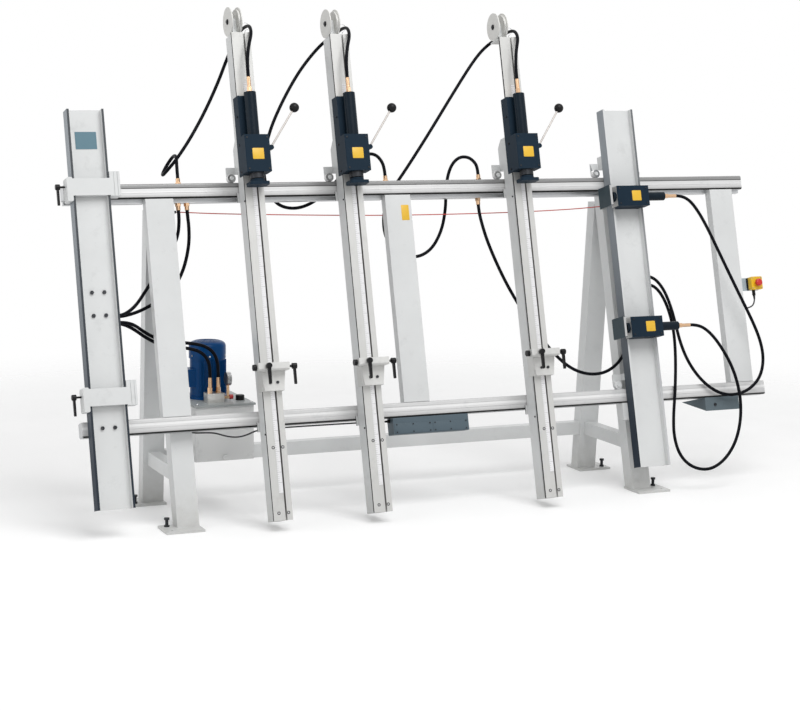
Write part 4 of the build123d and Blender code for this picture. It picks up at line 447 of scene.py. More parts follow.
def blended(tree, share, first, second, kind="MIX"):
    """Mix of two colours."""
    values = {0: share, 6: first, 7: second}
    return new_node(tree, "Mix", values, data_type="RGBA", blend_type=kind).outputs[2]


def ramped(tree, value, *stops):
    """Colour ramp over a value from (place, colour) stops."""
    ramp = new_node(tree, "ValToRGB", {"Fac": value})
    elements = ramp.color_ramp.elements
    for number, (place, shade) in enumerate(stops):
        element = elements[number] if number < 2 else elements.new(place)
        element.position = place
        element.color = shade if isinstance(shade, tuple) else (shade, shade, shade, 1)
    return ramp.outputs["Color"]


def mapped(tree, value, low, high, **settings):
    """Value spread from 0 at its low end to 1 at its high end."""
    values = {"Value": value, "From Min": low, "From Max": high}
    return new_node(tree, "MapRange", values, **settings).outputs[0]


def new_group(name, inputs, outputs):
    """Empty node group with its sockets; returns the tree, its input node and its output node."""
    tree = bpy.data.node_groups.new(name, "ShaderNodeTree")
    for direction, sockets in (("INPUT", inputs), ("OUTPUT", outputs)):
        for label, kind in sockets.items():
            tree.interface.new_socket(label, in_out=direction, socket_type="NodeSocket" + kind)
    return tree, tree.nodes.new("NodeGroupInput").outputs, tree.nodes.new("NodeGroupOutput").inputs


def placed_group(tree, name, **values):
    return new_node(tree, "Group", values, node_tree=bpy.data.node_groups[name]).outputs


def make_incline_place():
    """Place on the incline, in metres."""
    tree, given, wanted = new_group("incline_place", {"Vector": "Vector"}, {"Place": "Vector"})
    moved = new_node(tree, "Mapping", {"Vector": given["Vector"], "Location": (0, -PLANE_Y * MM, 0)},
                     vector_type="POINT")
    leaned = new_node(tree, "VectorRotate", {"Vector": moved.outputs[0], "Angle": LEAN - math.pi / 2},
                      rotation_type="X_AXIS")
    feed(tree, wanted, {"Place": leaned.outputs[0]})


def make_surface_wear():
    """Cloudy colour with worn spots."""
    tree, given, wanted = new_group(
        "surface_wear",
        {"Vector": "Vector", "Base": "Color", "Worn": "Color", "Scale": "Float", "Amount": "Float"},
        {"Color": "Color", "Mask": "Float"})
    cloud = noise(tree, given["Vector"], Scale=2.2, Detail=4, Roughness=0.6)
    spots = noise(tree, given["Vector"], Scale=given["Scale"], Detail=8, Roughness=0.72)
    tone = blended(tree, 1, given["Base"], ramped(tree, cloud, (0.3, 0.90), (0.7, 1.0)), "MULTIPLY")
    mask = sums(tree, "MULTIPLY", ramped(tree, spots, (0.56, 0), (0.70, 1)), given["Amount"])
    feed(tree, wanted, {"Color": blended(tree, mask, tone, given["Worn"]), "Mask": mask})


def make_drawn_lines():
    """Fine lines along one way of the incline, as drawing or grinding leaves them."""
    tree, given, wanted = new_group(
        "drawn_lines", {"Vector": "Vector", "Stretch": "Vector"}, {"Value": "Float"})
    place = placed_group(tree, "incline_place", Vector=given["Vector"])["Place"]
    scaled = new_node(tree, "VectorMath", {0: place, 1: given["Stretch"]}, operation="MULTIPLY")
    feed(tree, wanted, {"Value": noise(tree, scaled.outputs[0], Scale=1, Detail=3, Roughness=0.65)})


def make_skin():
    """Fine skin of sprayed enamel or moulded plastic."""
    tree, given, wanted = new_group("skin", {"Vector": "Vector", "Scale": "Float"}, {"Height": "Float"})
    ripple = noise(tree, given["Vector"], Scale=given["Scale"], Detail=2)
    pits = new_node(tree, "TexVoronoi", {"Vector": given["Vector"], "Scale": given["Scale"]},
                    feature="SMOOTH_F1").outputs["Distance"]
    feed(tree, wanted, {"Height": sums(tree, "MULTIPLY_ADD", pits, 0.35, ripple)})


def make_floor_dust():
    """Dust that thins out with height above the floor."""
    tree, given, wanted = new_group("floor_dust", {"Vector": "Vector", "Height": "Float"}, {"Mask": "Float"})
    height = new_node(tree, "SeparateXYZ", {"Vector": given["Vector"]}).outputs["Z"]
    low = mapped(tree, height, given["Height"], 0, interpolation_type="SMOOTHSTEP")
    speckle = noise(tree, given["Vector"], Scale=22, Detail=7, Roughness=0.7)
    feed(tree, wanted, {"Mask": sums(tree, "MULTIPLY", low, speckle)})


# Finishes

DUST = (0.33, 0.31, 0.27, 1)
TAPE_INK = (0.10, 0.10, 0.11, 1)


def opaque(shade, share=1):
    """Colour, or a share of it, with full cover."""
    return (*(share * part for part in shade), 1)


def new_finish(name):
    """Material's node tree, its shader and the place on the piece."""
    material = bpy.data.materials.new(name)
    material.use_nodes = True
    tree = material.node_tree
    return tree, tree.nodes["Principled BSDF"], new_node(tree, "TexCoord").outputs["Object"]


def incline_parts(tree, place):
    """Place along the rails, up the incline and out of it, in metres."""
    spot = placed_group(tree, "incline_place", Vector=place)["Place"]
    return new_node(tree, "SeparateXYZ", {"Vector": spot}).outputs


def worn_surface(tree, place, shade, worn, spots, wear):
    return placed_group(tree, "surface_wear", Vector=place, Base=opaque(shade), Worn=worn, Scale=spots,
                        Amount=wear)


def drawn_surface(tree, place, stretch, dark=(0.25, 0.80), light=(0.7, 1.0)):
    """Drawing lines as a value and as a grey."""
    drawn = placed_group(tree, "drawn_lines", Vector=place, Stretch=stretch)["Value"]
    return drawn, ramped(tree, drawn, dark, light)


def raise_skin(tree, shader, height, strength, distance):
    bump = new_node(tree, "Bump", {"Height": height, "Strength": strength, "Distance": distance})
    feed(tree, shader.inputs, {"Normal": bump.outputs[0]})


def coating(name, shade, worn=None, rough=0.45, wear=0.3, spots=14.0, skin=420.0, depth=0.10, coat=0.0,
            dust=0.0, gloss=0.5):
    """Sprayed enamel, powder coat or moulded plastic."""
    tree, shader, place = new_finish(name)
    if isinstance(shade, str):
        shade = getattr(bpy.context.scene.press_colours, shade)
    surface = worn_surface(tree, place, shade, opaque(worn or shade, 1 if worn else 0.62), spots, wear)
    tone = surface["Color"]
    if dust:
        low = placed_group(tree, "floor_dust", Vector=place, Height=dust)["Mask"]
        tone = blended(tree, sums(tree, "MULTIPLY", low, 0.55), tone, DUST)
    feed(tree, shader.inputs, {
        "Base Color": tone,
        "Roughness": sums(tree, "MULTIPLY_ADD", surface["Mask"], 0.30, rough),
        "Specular IOR Level": gloss,
        "Coat Weight": coat,
        "Coat Roughness": 0.18,
    })
    raise_skin(tree, shader, placed_group(tree, "skin", Vector=place, Scale=skin)["Height"], depth, 0.0006)


def metal(name, shade, worn=None, rough=0.3, wear=0.35, spots=10.0, stretch=(3, 260, 260), lines=0.25,
          metallic=1.0):
    """Bare metal with drawing or turning lines."""
    tree, shader, place = new_finish(name)
    surface = worn_surface(tree, place, shade, opaque(worn or shade, 1 if worn else 0.7), spots, wear)
    drawn, grey = drawn_surface(tree, place, stretch)
    edge = sums(tree, "MULTIPLY_ADD", drawn, lines, rough - lines / 2)
    feed(tree, shader.inputs, {
        "Base Color": blended(tree, lines * 2, surface["Color"], grey, "MULTIPLY"),
        "Roughness": sums(tree, "MULTIPLY_ADD", surface["Mask"], 0.2, edge),
        "Metallic": metallic,
    })
    raise_skin(tree, shader, drawn, 0.12, 0.0004)


def rail_painted_shading(name, middle, painted_bands, metallic=0.30):
    """Extruded rail whose front has painted light and shade in bands up the incline: painted shadow in its
    grooves and along its foot, and lighter and darker bands as painted highlight and shade on its faces.
    """
    tree, shader, place = new_finish(name)
    foot, top = (middle - RAIL_HALF) * MM, (middle + RAIL_HALF) * MM
    height = mapped(tree, incline_parts(tree, place)["Y"], foot, top)
    painted_band = ramped(tree, height, *painted_bands)
    worn = worn_surface(tree, place, (1, 1, 1), (0.72, 0.73, 0.74, 1), 9.0, 0.5)["Color"]
    drawn, grey = drawn_surface(tree, place, (2, 420, 420), (0.3, 0.84), (0.65, 1.0))
    feed(tree, shader.inputs, {
        "Base Color": blended(tree, 1, blended(tree, 1, painted_band, worn, "MULTIPLY"), grey, "MULTIPLY"),
        "Roughness": sums(tree, "MULTIPLY_ADD", drawn, 0.25, 0.26),
        "Metallic": metallic,
        "Specular IOR Level": 0.3,
    })
    raise_skin(tree, shader, sums(tree, "MULTIPLY_ADD", drawn, 0.15, painted_band), 0.5, 0.002)


def flange_painted_shading(name, low, high, foot=0.35, top=1.75):
    """Bare flange with painted light and shade: its tone changes from its foot to its top."""
    tree, shader, place = new_finish(name)
    height = mapped(tree, incline_parts(tree, place)["Y"], foot, top)
    drawn, grey = drawn_surface(tree, place, (90, 4, 90))
    feed(tree, shader.inputs, {
        "Base Color": blended(tree, 0.5, blended(tree, height, opaque(low), opaque(high)), grey, "MULTIPLY"),
        "Roughness": sums(tree, "MULTIPLY_ADD", drawn, 0.2, 0.42),
        "Specular IOR Level": 0.2,
    })
    raise_skin(tree, shader, drawn, 0.12, 0.0004)


def measuring_tape(name, x):
    """White tape with a line at each step and longer ones at every fifth."""
    tree, shader, place = new_finish(name)
    parts = incline_parts(tree, place)
    tick = bpy.context.scene.press_sizes.tick

    def lines(spacing, share):
        return sums(tree, "LESS_THAN", sums(tree, "FRACT", sums(tree, "DIVIDE", parts["Y"], spacing)), share)

    near = sums(tree, "LESS_THAN", sums(tree, "SUBTRACT", parts["X"], x * MM), -0.002)
    mark = sums(tree, "MAXIMUM", sums(tree, "MULTIPLY", lines(tick, 0.22), near), lines(tick * 5, 0.06))
    surface = worn_surface(tree, place, (0.80, 0.80, 0.81), (0.55, 0.54, 0.50, 1), 18.0, 0.4)
    feed(tree, shader.inputs, {
        "Base Color": blended(tree, sums(tree, "MULTIPLY", mark, 0.30), surface["Color"], TAPE_INK),
        "Roughness": sums(tree, "MULTIPLY_ADD", surface["Mask"], 0.3, 0.35),
    })
    raise_skin(tree, shader, placed_group(tree, "skin", Vector=place, Scale=600.0)["Height"], 0.06, 0.0004)


# Painted light and shade up the rails' fronts, as (place from foot to top, grey) stops: the dark stops are
# painted shadow in the grooves and under the rail, the bright ones painted highlight.
TOP_PAINTED_SHADING = ((0.0, 0.010), (0.105, 0.012), (0.115, 0.50), (0.40, 0.82), (0.52, 0.74), (0.66, 0.76),
             (0.672, 0.06), (0.70, 0.06), (0.712, 0.30), (1.0, 0.33))
LOW_PAINTED_SHADING = ((0.0, 0.012), (0.105, 0.014), (0.115, 0.56), (0.30, 0.72), (0.50, 0.80), (0.56, 0.95),
             (0.64, 0.95), (0.70, 0.78), (1.0, 0.66))

# What each maker needs for its finishes. A shade given as a word is one of the colour properties.
RECIPES = {
    coating: {
        "frame_enamel": dict(shade="frame", rough=0.42, wear=0.22, coat=0.12, dust=0.30),
        "beam_enamel": dict(shade="frame", rough=0.38, wear=0.28, spots=9.0, coat=0.15, dust=0.25),
        "head_enamel": dict(shade="head", worn=(0.035, 0.048, 0.060), rough=0.50, wear=0.30, spots=26.0,
                            gloss=0.08),
        "barrel_enamel": dict(shade=(0.003, 0.010, 0.018), worn=(0.025, 0.035, 0.045), rough=0.32, wear=0.25,
                              spots=30.0, gloss=0.15),
        "box_enamel": dict(shade="box", rough=0.45, wear=0.35, spots=20.0, gloss=0.2),
        "foot_enamel": dict(shade=(0.040, 0.062, 0.075), rough=0.50, wear=0.35, spots=20.0, gloss=0.15),
        "bracket_enamel": dict(shade=(0.130, 0.165, 0.185), rough=0.50, wear=0.35, spots=20.0, gloss=0.1),
        "shelf_enamel": dict(shade=(0.42, 0.50, 0.55), rough=0.45, wear=0.3),
        "tank_enamel": dict(shade=(0.73, 0.735, 0.73), rough=0.42, wear=0.4, spots=11.0, coat=0.1),
        "lid_enamel": dict(shade=(0.33, 0.35, 0.35), rough=0.40, wear=0.5, spots=16.0),
        "motor_enamel": dict(shade="motor", rough=0.30, wear=0.3, spots=24.0, gloss=0.12),
        "dark_plastic": dict(shade=(0.006, 0.006, 0.007), worn=(0.03, 0.03, 0.03), rough=0.34, wear=0.3,
                             spots=40.0, skin=700.0, gloss=0.2),
        # Black slide pads; the same near black is painted shade on the clamp profiles' sides.
        "slide_plastic": dict(shade=(0.012, 0.013, 0.016), worn=(0.07, 0.07, 0.07), rough=0.55, gloss=0.2),
        "reel_plastic_cover": dict(shade="reel", rough=0.36, wear=0.3, spots=22.0, skin=500.0),
        "patch_film": dict(shade="patch", rough=0.38, wear=0.35, spots=40.0, depth=0.04),
        "teal_plate": dict(shade="plate", rough=0.33, wear=0.25, spots=30.0, depth=0.04, coat=0.2),
        "stop_cover": dict(shade="stop_cover", rough=0.36, wear=0.3, spots=30.0, skin=600.0),
        "stop_red_plastic": dict(shade="stop_button", rough=0.30, wear=0.25, spots=35.0, coat=0.2),
        "knob_red": dict(shade=(0.45, 0.02, 0.025), rough=0.35, wear=0.3, spots=40.0),
        "hose_cover": dict(shade="hose", worn=(0.016, 0.017, 0.020), rough=0.36, wear=0.5, spots=55.0,
                           skin=900.0, depth=0.16, gloss=0.05),
        "cord_braid": dict(shade="cord", rough=0.55, wear=0.4, spots=60.0, skin=1400.0, depth=0.3),
        "cable_sheath": dict(shade=(0.030, 0.031, 0.034), worn=(0.08, 0.08, 0.08), rough=0.45, wear=0.4,
                             spots=60.0, skin=1200.0, depth=0.12),
        "dial_face": dict(shade=(0.72, 0.72, 0.70), rough=0.25, wear=0.15, depth=0.02, coat=0.6),
    },
    metal: {
        "rail_alloy": dict(shade=(0.62, 0.63, 0.64), rough=0.34, stretch=(2, 420, 420)),
        "profile_alloy": dict(shade=(0.60, 0.60, 0.585), rough=0.50, stretch=(420, 2, 420), lines=0.2,
                              metallic=0.35),
        "ledge_cast": dict(shade=(0.66, 0.66, 0.645), rough=0.50, stretch=(60, 60, 60), lines=0.2,
                           metallic=0.35),
        "valve_block_alloy": dict(shade=(0.70, 0.69, 0.66), rough=0.35, stretch=(8, 300, 300)),
        "ground_steel": dict(shade=(0.58, 0.58, 0.58), rough=0.24, stretch=(320, 14, 320)),
        "chrome_rod": dict(shade=(0.62, 0.58, 0.55), rough=0.45, wear=0.2, lines=0.03, stretch=(9, 9, 9),
                           metallic=0.2),
        "dark_steel": dict(shade=(0.045, 0.047, 0.052), worn=(0.16, 0.16, 0.16), rough=0.42, wear=0.4,
                           spots=35.0, stretch=(90, 90, 90)),
        "grey_steel": dict(shade=(0.36, 0.37, 0.38), rough=0.38, stretch=(70, 70, 70)),
        "brass": dict(shade=(0.76, 0.50, 0.31), worn=(0.46, 0.26, 0.14), rough=0.24, wear=0.5, spots=40.0,
                      stretch=(40, 400, 40)),
        "wire_steel": dict(shade=(0.55, 0.55, 0.56), rough=0.30, stretch=(600, 600, 600)),
        "pump_cast": dict(shade=(0.15, 0.15, 0.16), rough=0.55, stretch=(50, 50, 50)),
    },
    # Bare steel flanges with painted light and shade: each goes from its low tone at the foot to its high
    # tone at the top; the first two are darker towards the foot, the last lighter there.
    flange_painted_shading: {
        "flange_steel": dict(low=(0.004, 0.014, 0.030), high=(0.34, 0.37, 0.40)),
        "flange_edge": dict(low=(0.020, 0.028, 0.040), high=(0.075, 0.082, 0.090)),
        "pale_edge": dict(low=(0.55, 0.56, 0.57), high=(0.15, 0.16, 0.17)),
    },
    rail_painted_shading: {
        "top_rail_front": dict(middle=TOP_RAIL, painted_bands=TOP_PAINTED_SHADING),
        "lower_rail_front": dict(middle=LOWER_RAIL, painted_bands=LOW_PAINTED_SHADING, metallic=0.10),
    },
    measuring_tape: {f"tape_{number}": dict(x=x) for number, x in enumerate(CLAMPS, 1)},
}


def finish(name):
    """The material of that name, made on its first use."""
    if name not in bpy.data.materials:
        maker = next(maker for maker, recipes in RECIPES.items() if name in recipes)
        maker(name, **RECIPES[maker][name])
    return bpy.data.materials[name]


# Operators

class PRESS_OT_camera(bpy.types.Operator):
    """Set the camera at the operator's left"""
    bl_idname = "press.camera"
    bl_label = "Camera"

    place = (-3978.8, -9181.3, 2156.3)
    yaw, pitch, roll = math.radians(23.369), math.radians(-8.04), math.radians(0.494)
    focal_pixels, image_width, sensor_width = 1962.1, 800, 36
    farthest = 60

    def execute(self, context):
        level = math.cos(self.pitch)
        ahead = Vector((math.sin(self.yaw) * level, math.cos(self.yaw) * level, math.sin(self.pitch)))
        side = Vector((math.cos(self.yaw), -math.sin(self.yaw), 0))
        top = side.cross(ahead)
        rolled_side = side * math.cos(self.roll) + top * math.sin(self.roll)
        rolled_top = top * math.cos(self.roll) - side * math.sin(self.roll)
        turn = Matrix((rolled_side, rolled_top, -ahead)).transposed().to_4x4()
        data = bpy.data.cameras.new("camera")
        data.sensor_width = self.sensor_width
        data.lens = self.focal_pixels * self.sensor_width / self.image_width
        data.clip_end = self.farthest
        camera = bpy.data.objects.new("camera", data)
        camera.matrix_world = Matrix.Translation(Vector(self.place) * MM) @ turn
        context.scene.collection.objects.link(camera)
        context.scene.camera = camera
        context.scene.view_settings.view_transform = "Standard"
        return {"FINISHED"}


class PRESS_OT_shader_groups(bpy.types.Operator):
    """Make the shader groups that the finishes share"""
    bl_idname = "press.shader_groups"
    bl_label = "Shader groups"

    def execute(self, context):
        make_incline_place()
        make_surface_wear()
        make_drawn_lines()
        make_skin()
        make_floor_dust()
        return {"FINISHED"}


class PRESS_OT_head_hoses(bpy.types.Operator):
    """Hang the hoses of the three press heads, each in two lengths that meet beside its reel"""
    bl_idname = "press.head_hoses"
    bl_label = "Head hoses"

    meet_side, meet_s = 62, 2472

    def execute(self, context):
        size = context.scene.press_sizes.hose
        for number, (x, union_x, fall) in enumerate(zip(CLAMPS, TOP_UNIONS, HOSE_FALLS), 1):
            port = (x, HEAD_PORT_S, HEAD_AXIS)
            rise = [tuple(place + move for place, move in zip(port, point)) for point in HOSE_RISE]
            union = ((union_x, UNION_TOP, UNION_D), UP)
            places = centreline(between((port, UP), (*rise, *fall), union, size))
            meet = at(x + self.meet_side, self.meet_s, HOSE_GUIDE_D)
            cut = min(range(len(places)), key=lambda item: (places[item] - meet).length)
            clamp, head, hose = f"clamp_{number}", f"head_{number}", f"head_hose_{number}"
            moving_line(f"hose_rise_{number}", places[cut::-1], size, hose)
            moving_line(f"hose_fall_{number}", places[:cut - 1:-1], size, hose)
        return {"FINISHED"}


class PRESS_OT_side_hoses(bpy.types.Operator):
    """Hang the feed hose of the right beam and the hoses of its two side heads"""
    bl_idname = "press.side_hoses"
    bl_label = "Side hoses"

    feed_start = ((449, UNION_FOOT, UNION_D), DOWN)
    feed_end = ((1305, 1053, -22), DOWN)
    head_port_x, manifold_x, manifold_d = 1540, 1367, -22
    manifold_ports = {"upper": (1160, SIDE_UPPER_ROUTE), "lower": (1114, SIDE_LOWER_ROUTE)}

    def execute(self, context):
        size = context.scene.press_sizes.hose
        points = between(self.feed_start, FEED_ROUTE, self.feed_end, size)
        moving_line("feed_hose", centreline(points), size, "side_feed_hose")
        for name, (port_s, route) in self.manifold_ports.items():
            start = ((self.head_port_x, SIDE_HEADS[name], SIDE_AXIS), RIGHT)
            end = ((self.manifold_x, port_s, self.manifold_d), RIGHT)
            places = centreline(between(start, route, end, size))[::-1]
            moving_line(f"side_hose_{name}", places, size, "side_hoses")
        return {"FINISHED"}


class PRESS_OT_supply_hoses(bpy.types.Operator):
    """Hang the four hoses between the pump, the distributor block and the top rail"""
    bl_idname = "press.supply_hoses"
    bl_label = "Supply hoses"

    def execute(self, context):
        size = context.scene.press_sizes.hose
        valve = [((x, 762.38, -221.79), PLUMB) for x in (-1033, -991)]
        distributor = {(s, d): ((-1555, s, d), RIGHT) for s in (1030, 1062) for d in (-25, -52)}
        union = [((x, UNION_FOOT, UNION_D), DOWN) for x in (-1130, -1174)]
        lines = {
            "pump_out_hose": (valve[0], PUMP_OUT_ROUTE, distributor[1030, -52]),
            "pump_back_hose": (valve[1], PUMP_BACK_ROUTE, distributor[1030, -25]),
            "rail_feed_hose": (distributor[1062, -52], RAIL_FEED_ROUTE, union[0]),
            "rail_back_hose": (distributor[1062, -25], RAIL_BACK_ROUTE, union[1]),
        }
        for name, ends in lines.items():
            fixed_line(name, between(*ends, size), size, "hose_cover", "supply_hoses")
        return {"FINISHED"}


class PRESS_OT_lines(bpy.types.Operator):
    """Run the red cord and the two electric cables, with their tapered glands"""
    bl_idname = "press.lines"
    bl_label = "Cord and cables"

    cord = (((-1184, 1568, -69), RIGHT), CORD_ROUTE, ((1184, 1553, -69), LEFT))
    cables = {
        "motor_cable": (((-169.5, 474, -45), LEFT), MOTOR_CABLE_ROUTE, ((-1117.33, 785.42, -365.74), LEFT)),
        "stop_cable": (((2060, 1042, -36), DOWN), STOP_CABLE_ROUTE, ((1969, 963, -27), RIGHT)),
    }
    gland = ((0, 0), (10, 0), (10, 5), (7.5, 6), (7.5, 12), (6.2, 13), (4.6, 30), (0, 30))

    def execute(self, context):
        sizes = context.scene.press_sizes
        fixed_line("red_cord", between(*self.cord, sizes.cord), sizes.cord, "cord_braid", "control_lines")
        for name, ends in self.cables.items():
            fixed_line(name, between(*ends, sizes.cable), sizes.cable, "cable_sheath", "control_lines")
        ports = [port for start, _, end in self.cables.values() for port in (start, end)]
        make_set("cable_glands", "dark_plastic", "frame", "black_steel",
                 *((turned, (self.gland, 16), [place], way) for place, way in ports))
        return {"FINISHED"}


class PRESS_OT_reel_wires(bpy.types.Operator):
    """Run a balance wire from each reel to its press head and bend the wire that guides the hose"""
    bl_idname = "press.reel_wires"
    bl_label = "Balance wires"

    balance_route = ((16.6, REEL_S, 108.3), (16.6, 2360, 108.6), (16.2, 2220, 110), (16, 2089.5, 112))
    guide_loop = ((28, 2418), (46, 2424), (58, 2440), (62, 2456), (76, 2460), (84, 2476), (78, 2492),
                  (62, 2496), (48, 2490), (42, 2476), (48, 2462))
    guide_diameter = 0.003

    def execute(self, context):
        size = context.scene.press_sizes.wire
        for number, x in enumerate(CLAMPS, 1):
            clamp, guide = f"clamp_{number}", f"hose_guide_{number}"
            wire = centreline(beside(x, self.balance_route))
            moving_line(f"balance_wire_{number}", wire, size, None, "wire_steel")
            loop = centreline([(x + side, s, HOSE_GUIDE_D) for side, s in self.guide_loop])
            show(guide, tube(guide, loop, self.guide_diameter), "wire_steel", clamp)
        return {"FINISHED"}


class PRESS_OT_stand(bpy.types.Operator):
    """Finish the stands, posts, boxes and fasteners"""
    bl_idname = "press.stand"
    bl_label = "Stand"

    lids = {-62: 205, 144: 193}
    lid_s, lid_height, lid_thickness, lid_corner = 432, 50, 1.6, 4
    lid_screws = [(x, s, 1.5) for x in (-152, -62, 30, 58, 144, 230) for s in (413, 451)]
    bracket_from = 1000
    bracket_screw = (1712, 446, 0)
    patch_place = (7, 1530, -2)

    def execute(self, context):
        for name in ("left_stand", "right_stand", "rear_stretcher", "rail_posts"):
            dress(name, "frame_enamel")
        dress("frame_fasteners", "dark_steel")
        dress("under_rail_boxes", "box_enamel", ("bracket_enamel", lambda x, s, d: x > self.bracket_from))
        lid = (self.lid_height, self.lid_thickness, self.lid_corner)
        make_set("control_box_lids", "box_enamel", "frame", "black_steel",
                 *((plate, (width, *lid), [(x, self.lid_s, 0)], OUT) for x, width in self.lids.items()))
        make_set("box_screws", "dark_steel", "frame", "black_steel",
                 (cap_screw, (7, 3), self.lid_screws, OUT), (cap_screw, (16, 6), [self.bracket_screw], OUT))
        make_piece("post_patch", plate(42, 79, 0.8, 3), "patch_film", "frame",
                   facing(self.patch_place, OUT))
        return {"FINISHED"}


class PRESS_OT_rails(bpy.types.Operator):
    """Finish the two rails, the guide bar and the oil line's unions"""
    bl_idname = "press.rails"
    bl_label = "Rails"

    front_from, front_half = -13, RAIL_HALF - 0.1

    def execute(self, context):
        self.dress_rail("top_rail", TOP_RAIL)
        self.dress_rail("lower_rail", LOWER_RAIL)
        dress("oil_line", "grey_steel", ("brass", lambda x, s, d: (s > 1697) | within(s, 1570, 1607)))
        return {"FINISHED"}

    def dress_rail(self, name, middle):
        def front(x, s, d):
            return (d > self.front_from) & (abs(s - middle) < self.front_half)

        # The front gets the rail's painted light and shade.
        dress(name, "rail_alloy", (f"{name}_front", front))


class PRESS_OT_clamps(bpy.types.Operator):
    """Finish the three clamps: tubes, profiles, measuring tapes, rollers and screws"""
    bl_idname = "press.clamps"
    bl_label = "Clamps"

    roller = ((0, 0), (21, 0), (21, 1.2), (20, 2), (15.5, 2), (15, 0.8), (12, 0.8), (11.5, 2), (9, 2),
              (8.5, 4.5), (7.5, 5), (0, 5))
    ring = ((4.6, 0), (8.2, 0), (8.2, 0.12), (7.8, 0.2), (5.0, 0.2), (4.6, 0.12), (4.6, 0))
    button = ((0, 0), (4.4, 0), (4.4, 0.1), (3.8, 0.2), (0, 0.2))
    roller_places = [(side, ROLLER_S, -8.5) for side in (-ROLLER_SIDE, ROLLER_SIDE)]
    profile_screws = [(side, s, 150) for s in (56, 371) for side in (-21, 28)]
    tube_screws = [(-30, s, 82) for s in (440, 1586, 1960)]

    def execute(self, context):
        for number, x in enumerate(CLAMPS, 1):
            self.dress_solids(number, x)
            fronts = beside(x, self.profile_screws)
            make_set(f"roller_faces_{number}", "ground_steel", f"clamp_{number}", "bright_steel",
                     (turned, (self.roller, 28), beside(x, self.roller_places), OUT),
                     (turned, (self.button,), fronts, OUT))
            make_set(f"clamp_screws_{number}", "dark_steel", f"clamp_{number}", "black_steel",
                     (turned, (self.ring,), fronts, OUT),
                     (cap_screw, (9, 4), beside(x, self.tube_screws), LEFT))
        return {"FINISHED"}

    def dress_solids(self, number, x):
        def roller(px, s, d):
            off = np.hypot(abs(px - x) - ROLLER_SIDE, s - ROLLER_S)
            return within(d, -34, -8) & (off < 23)

        def tape(px, s, d):
            return within(d, 148.2, 149.8) & (abs(px - x - 0.5) < 10.8) & within(s, 149, 2161)

        dress(f"clamp_beam_{number}", "beam_enamel",
              ("ground_steel", roller),
              ("slide_plastic", lambda px, s, d: within(d, 0.1, 6.1) & (abs(px - x) > 30.2) & (s < 1650)),
              ("slide_plastic", lambda px, s, d: within(d, 96.01, 99.99)))
        dress(f"clamp_profile_{number}", "profile_alloy",
              (f"tape_{number}", tape),
              # The profile's side faces are painted near black: painted shade standing for a shadowed groove
              # along them.
              ("slide_plastic", lambda px, s, d: (abs(px - x) > 48.4) & (s < 2415)),
              ("beam_enamel", lambda px, s, d: s > 2415.2))


class PRESS_OT_reels(bpy.types.Operator):
    """Finish the balance reels with their bushes"""
    bl_idname = "press.reels"
    bl_label = "Balance reels"

    bush = ((0, 0), (14, 0), (14, 3), (12, 4), (6, 4), (5.6, 2), (0, 1.6))
    half = 27

    def execute(self, context):
        for number, x in enumerate(CLAMPS, 1):
            dress(f"balance_reel_{number}", "reel_plastic_cover",
                  ("dark_steel", lambda px, s, d: abs(px - x) > self.half + 0.2))
            make_set(f"reel_bushes_{number}", "dark_plastic", f"reel_{number}", "black_steel",
                     (turned, (self.bush,), [(x - self.half, REEL_S, REEL_D)], LEFT),
                     (turned, (self.bush,), [(x + self.half, REEL_S, REEL_D)], RIGHT))
        return {"FINISHED"}


class PRESS_OT_heads(bpy.types.Operator):
    """Finish the press heads, their rams and release levers"""
    bl_idname = "press.heads"
    bl_label = "Press heads"

    gland_top, barrel_foot, fitting_foot, rod_foot = 1698.5, 1881.5, 2100.5, 1652.5
    bore_radius, rod_radius, barrel_radius = 5, 20, 31
    lever_side, lever_s, ball_d, ball_radius = 77, 1820, 219.8, 26
    lever_length, lever_rise = 244, math.radians(55)
    patch_s = 1786
    shoe_screws = [(-54.8, s, 146) for s in (1716, 1850, 1990)]
    front_screws = [(side, s, HEAD_FRONT) for side in (-51, 51) for s in (1713, 1866)]

    def execute(self, context):
        for number, x in enumerate(CLAMPS, 1):
            body = f"head_{number}"
            self.dress_solids(number, x)
            make_piece(f"head_patch_{number}", plate(58, 54, 0.6, 4), "patch_film", body,
                       facing((x, self.patch_s, HEAD_FRONT), OUT))
            make_set(f"head_screws_{number}", "dark_steel", body, "black_steel",
                     (cap_screw, (10, 5), beside(x, self.shoe_screws), LEFT),
                     (cap_screw, (9, 3), beside(x, self.front_screws), OUT))
        return {"FINISHED"}

    def dress_solids(self, number, x):
        ball_x = x + self.lever_side + self.lever_length * math.cos(self.lever_rise)
        ball_s = self.lever_s + self.lever_length * math.sin(self.lever_rise)

        def off_axis(px, d):
            return np.hypot(px - x, d - HEAD_AXIS)

        def barrel(px, s, d):
            return (s > self.barrel_foot) & (off_axis(px, d) < self.barrel_radius)

        def ball(px, s, d):
            return np.hypot(np.hypot(px - ball_x, s - ball_s), d - self.ball_d) < self.ball_radius

        dress(f"press_head_{number}", "head_enamel",
              ("barrel_enamel", barrel),
              ("brass", lambda px, s, d: s > self.fitting_foot),
              ("dark_steel", lambda px, s, d: (s < self.gland_top) & (off_axis(px, d) > self.bore_radius)))
        dress(f"press_ram_{number}", "head_enamel",
              ("chrome_rod", lambda px, s, d: (s > self.rod_foot) & (off_axis(px, d) < self.rod_radius)))
        dress(f"release_lever_{number}", "chrome_rod", ("dark_plastic", ball))


class PRESS_OT_stops(bpy.types.Operator):
    """Finish the lower stops, their levers and spindles"""
    bl_idname = "press.stops"
    bl_label = "Lower stops"

    def execute(self, context):
        for number in range(1, len(CLAMPS) + 1):
            dress(f"lower_stop_{number}", "ledge_cast",
                  ("dark_steel", lambda x, s, d: within(d, 185.3, 195) & within(s, 660, 700)))
            dress(f"stop_lever_{number}", "dark_plastic")
            dress(f"stop_spindle_{number}", "dark_plastic")
        return {"FINISHED"}


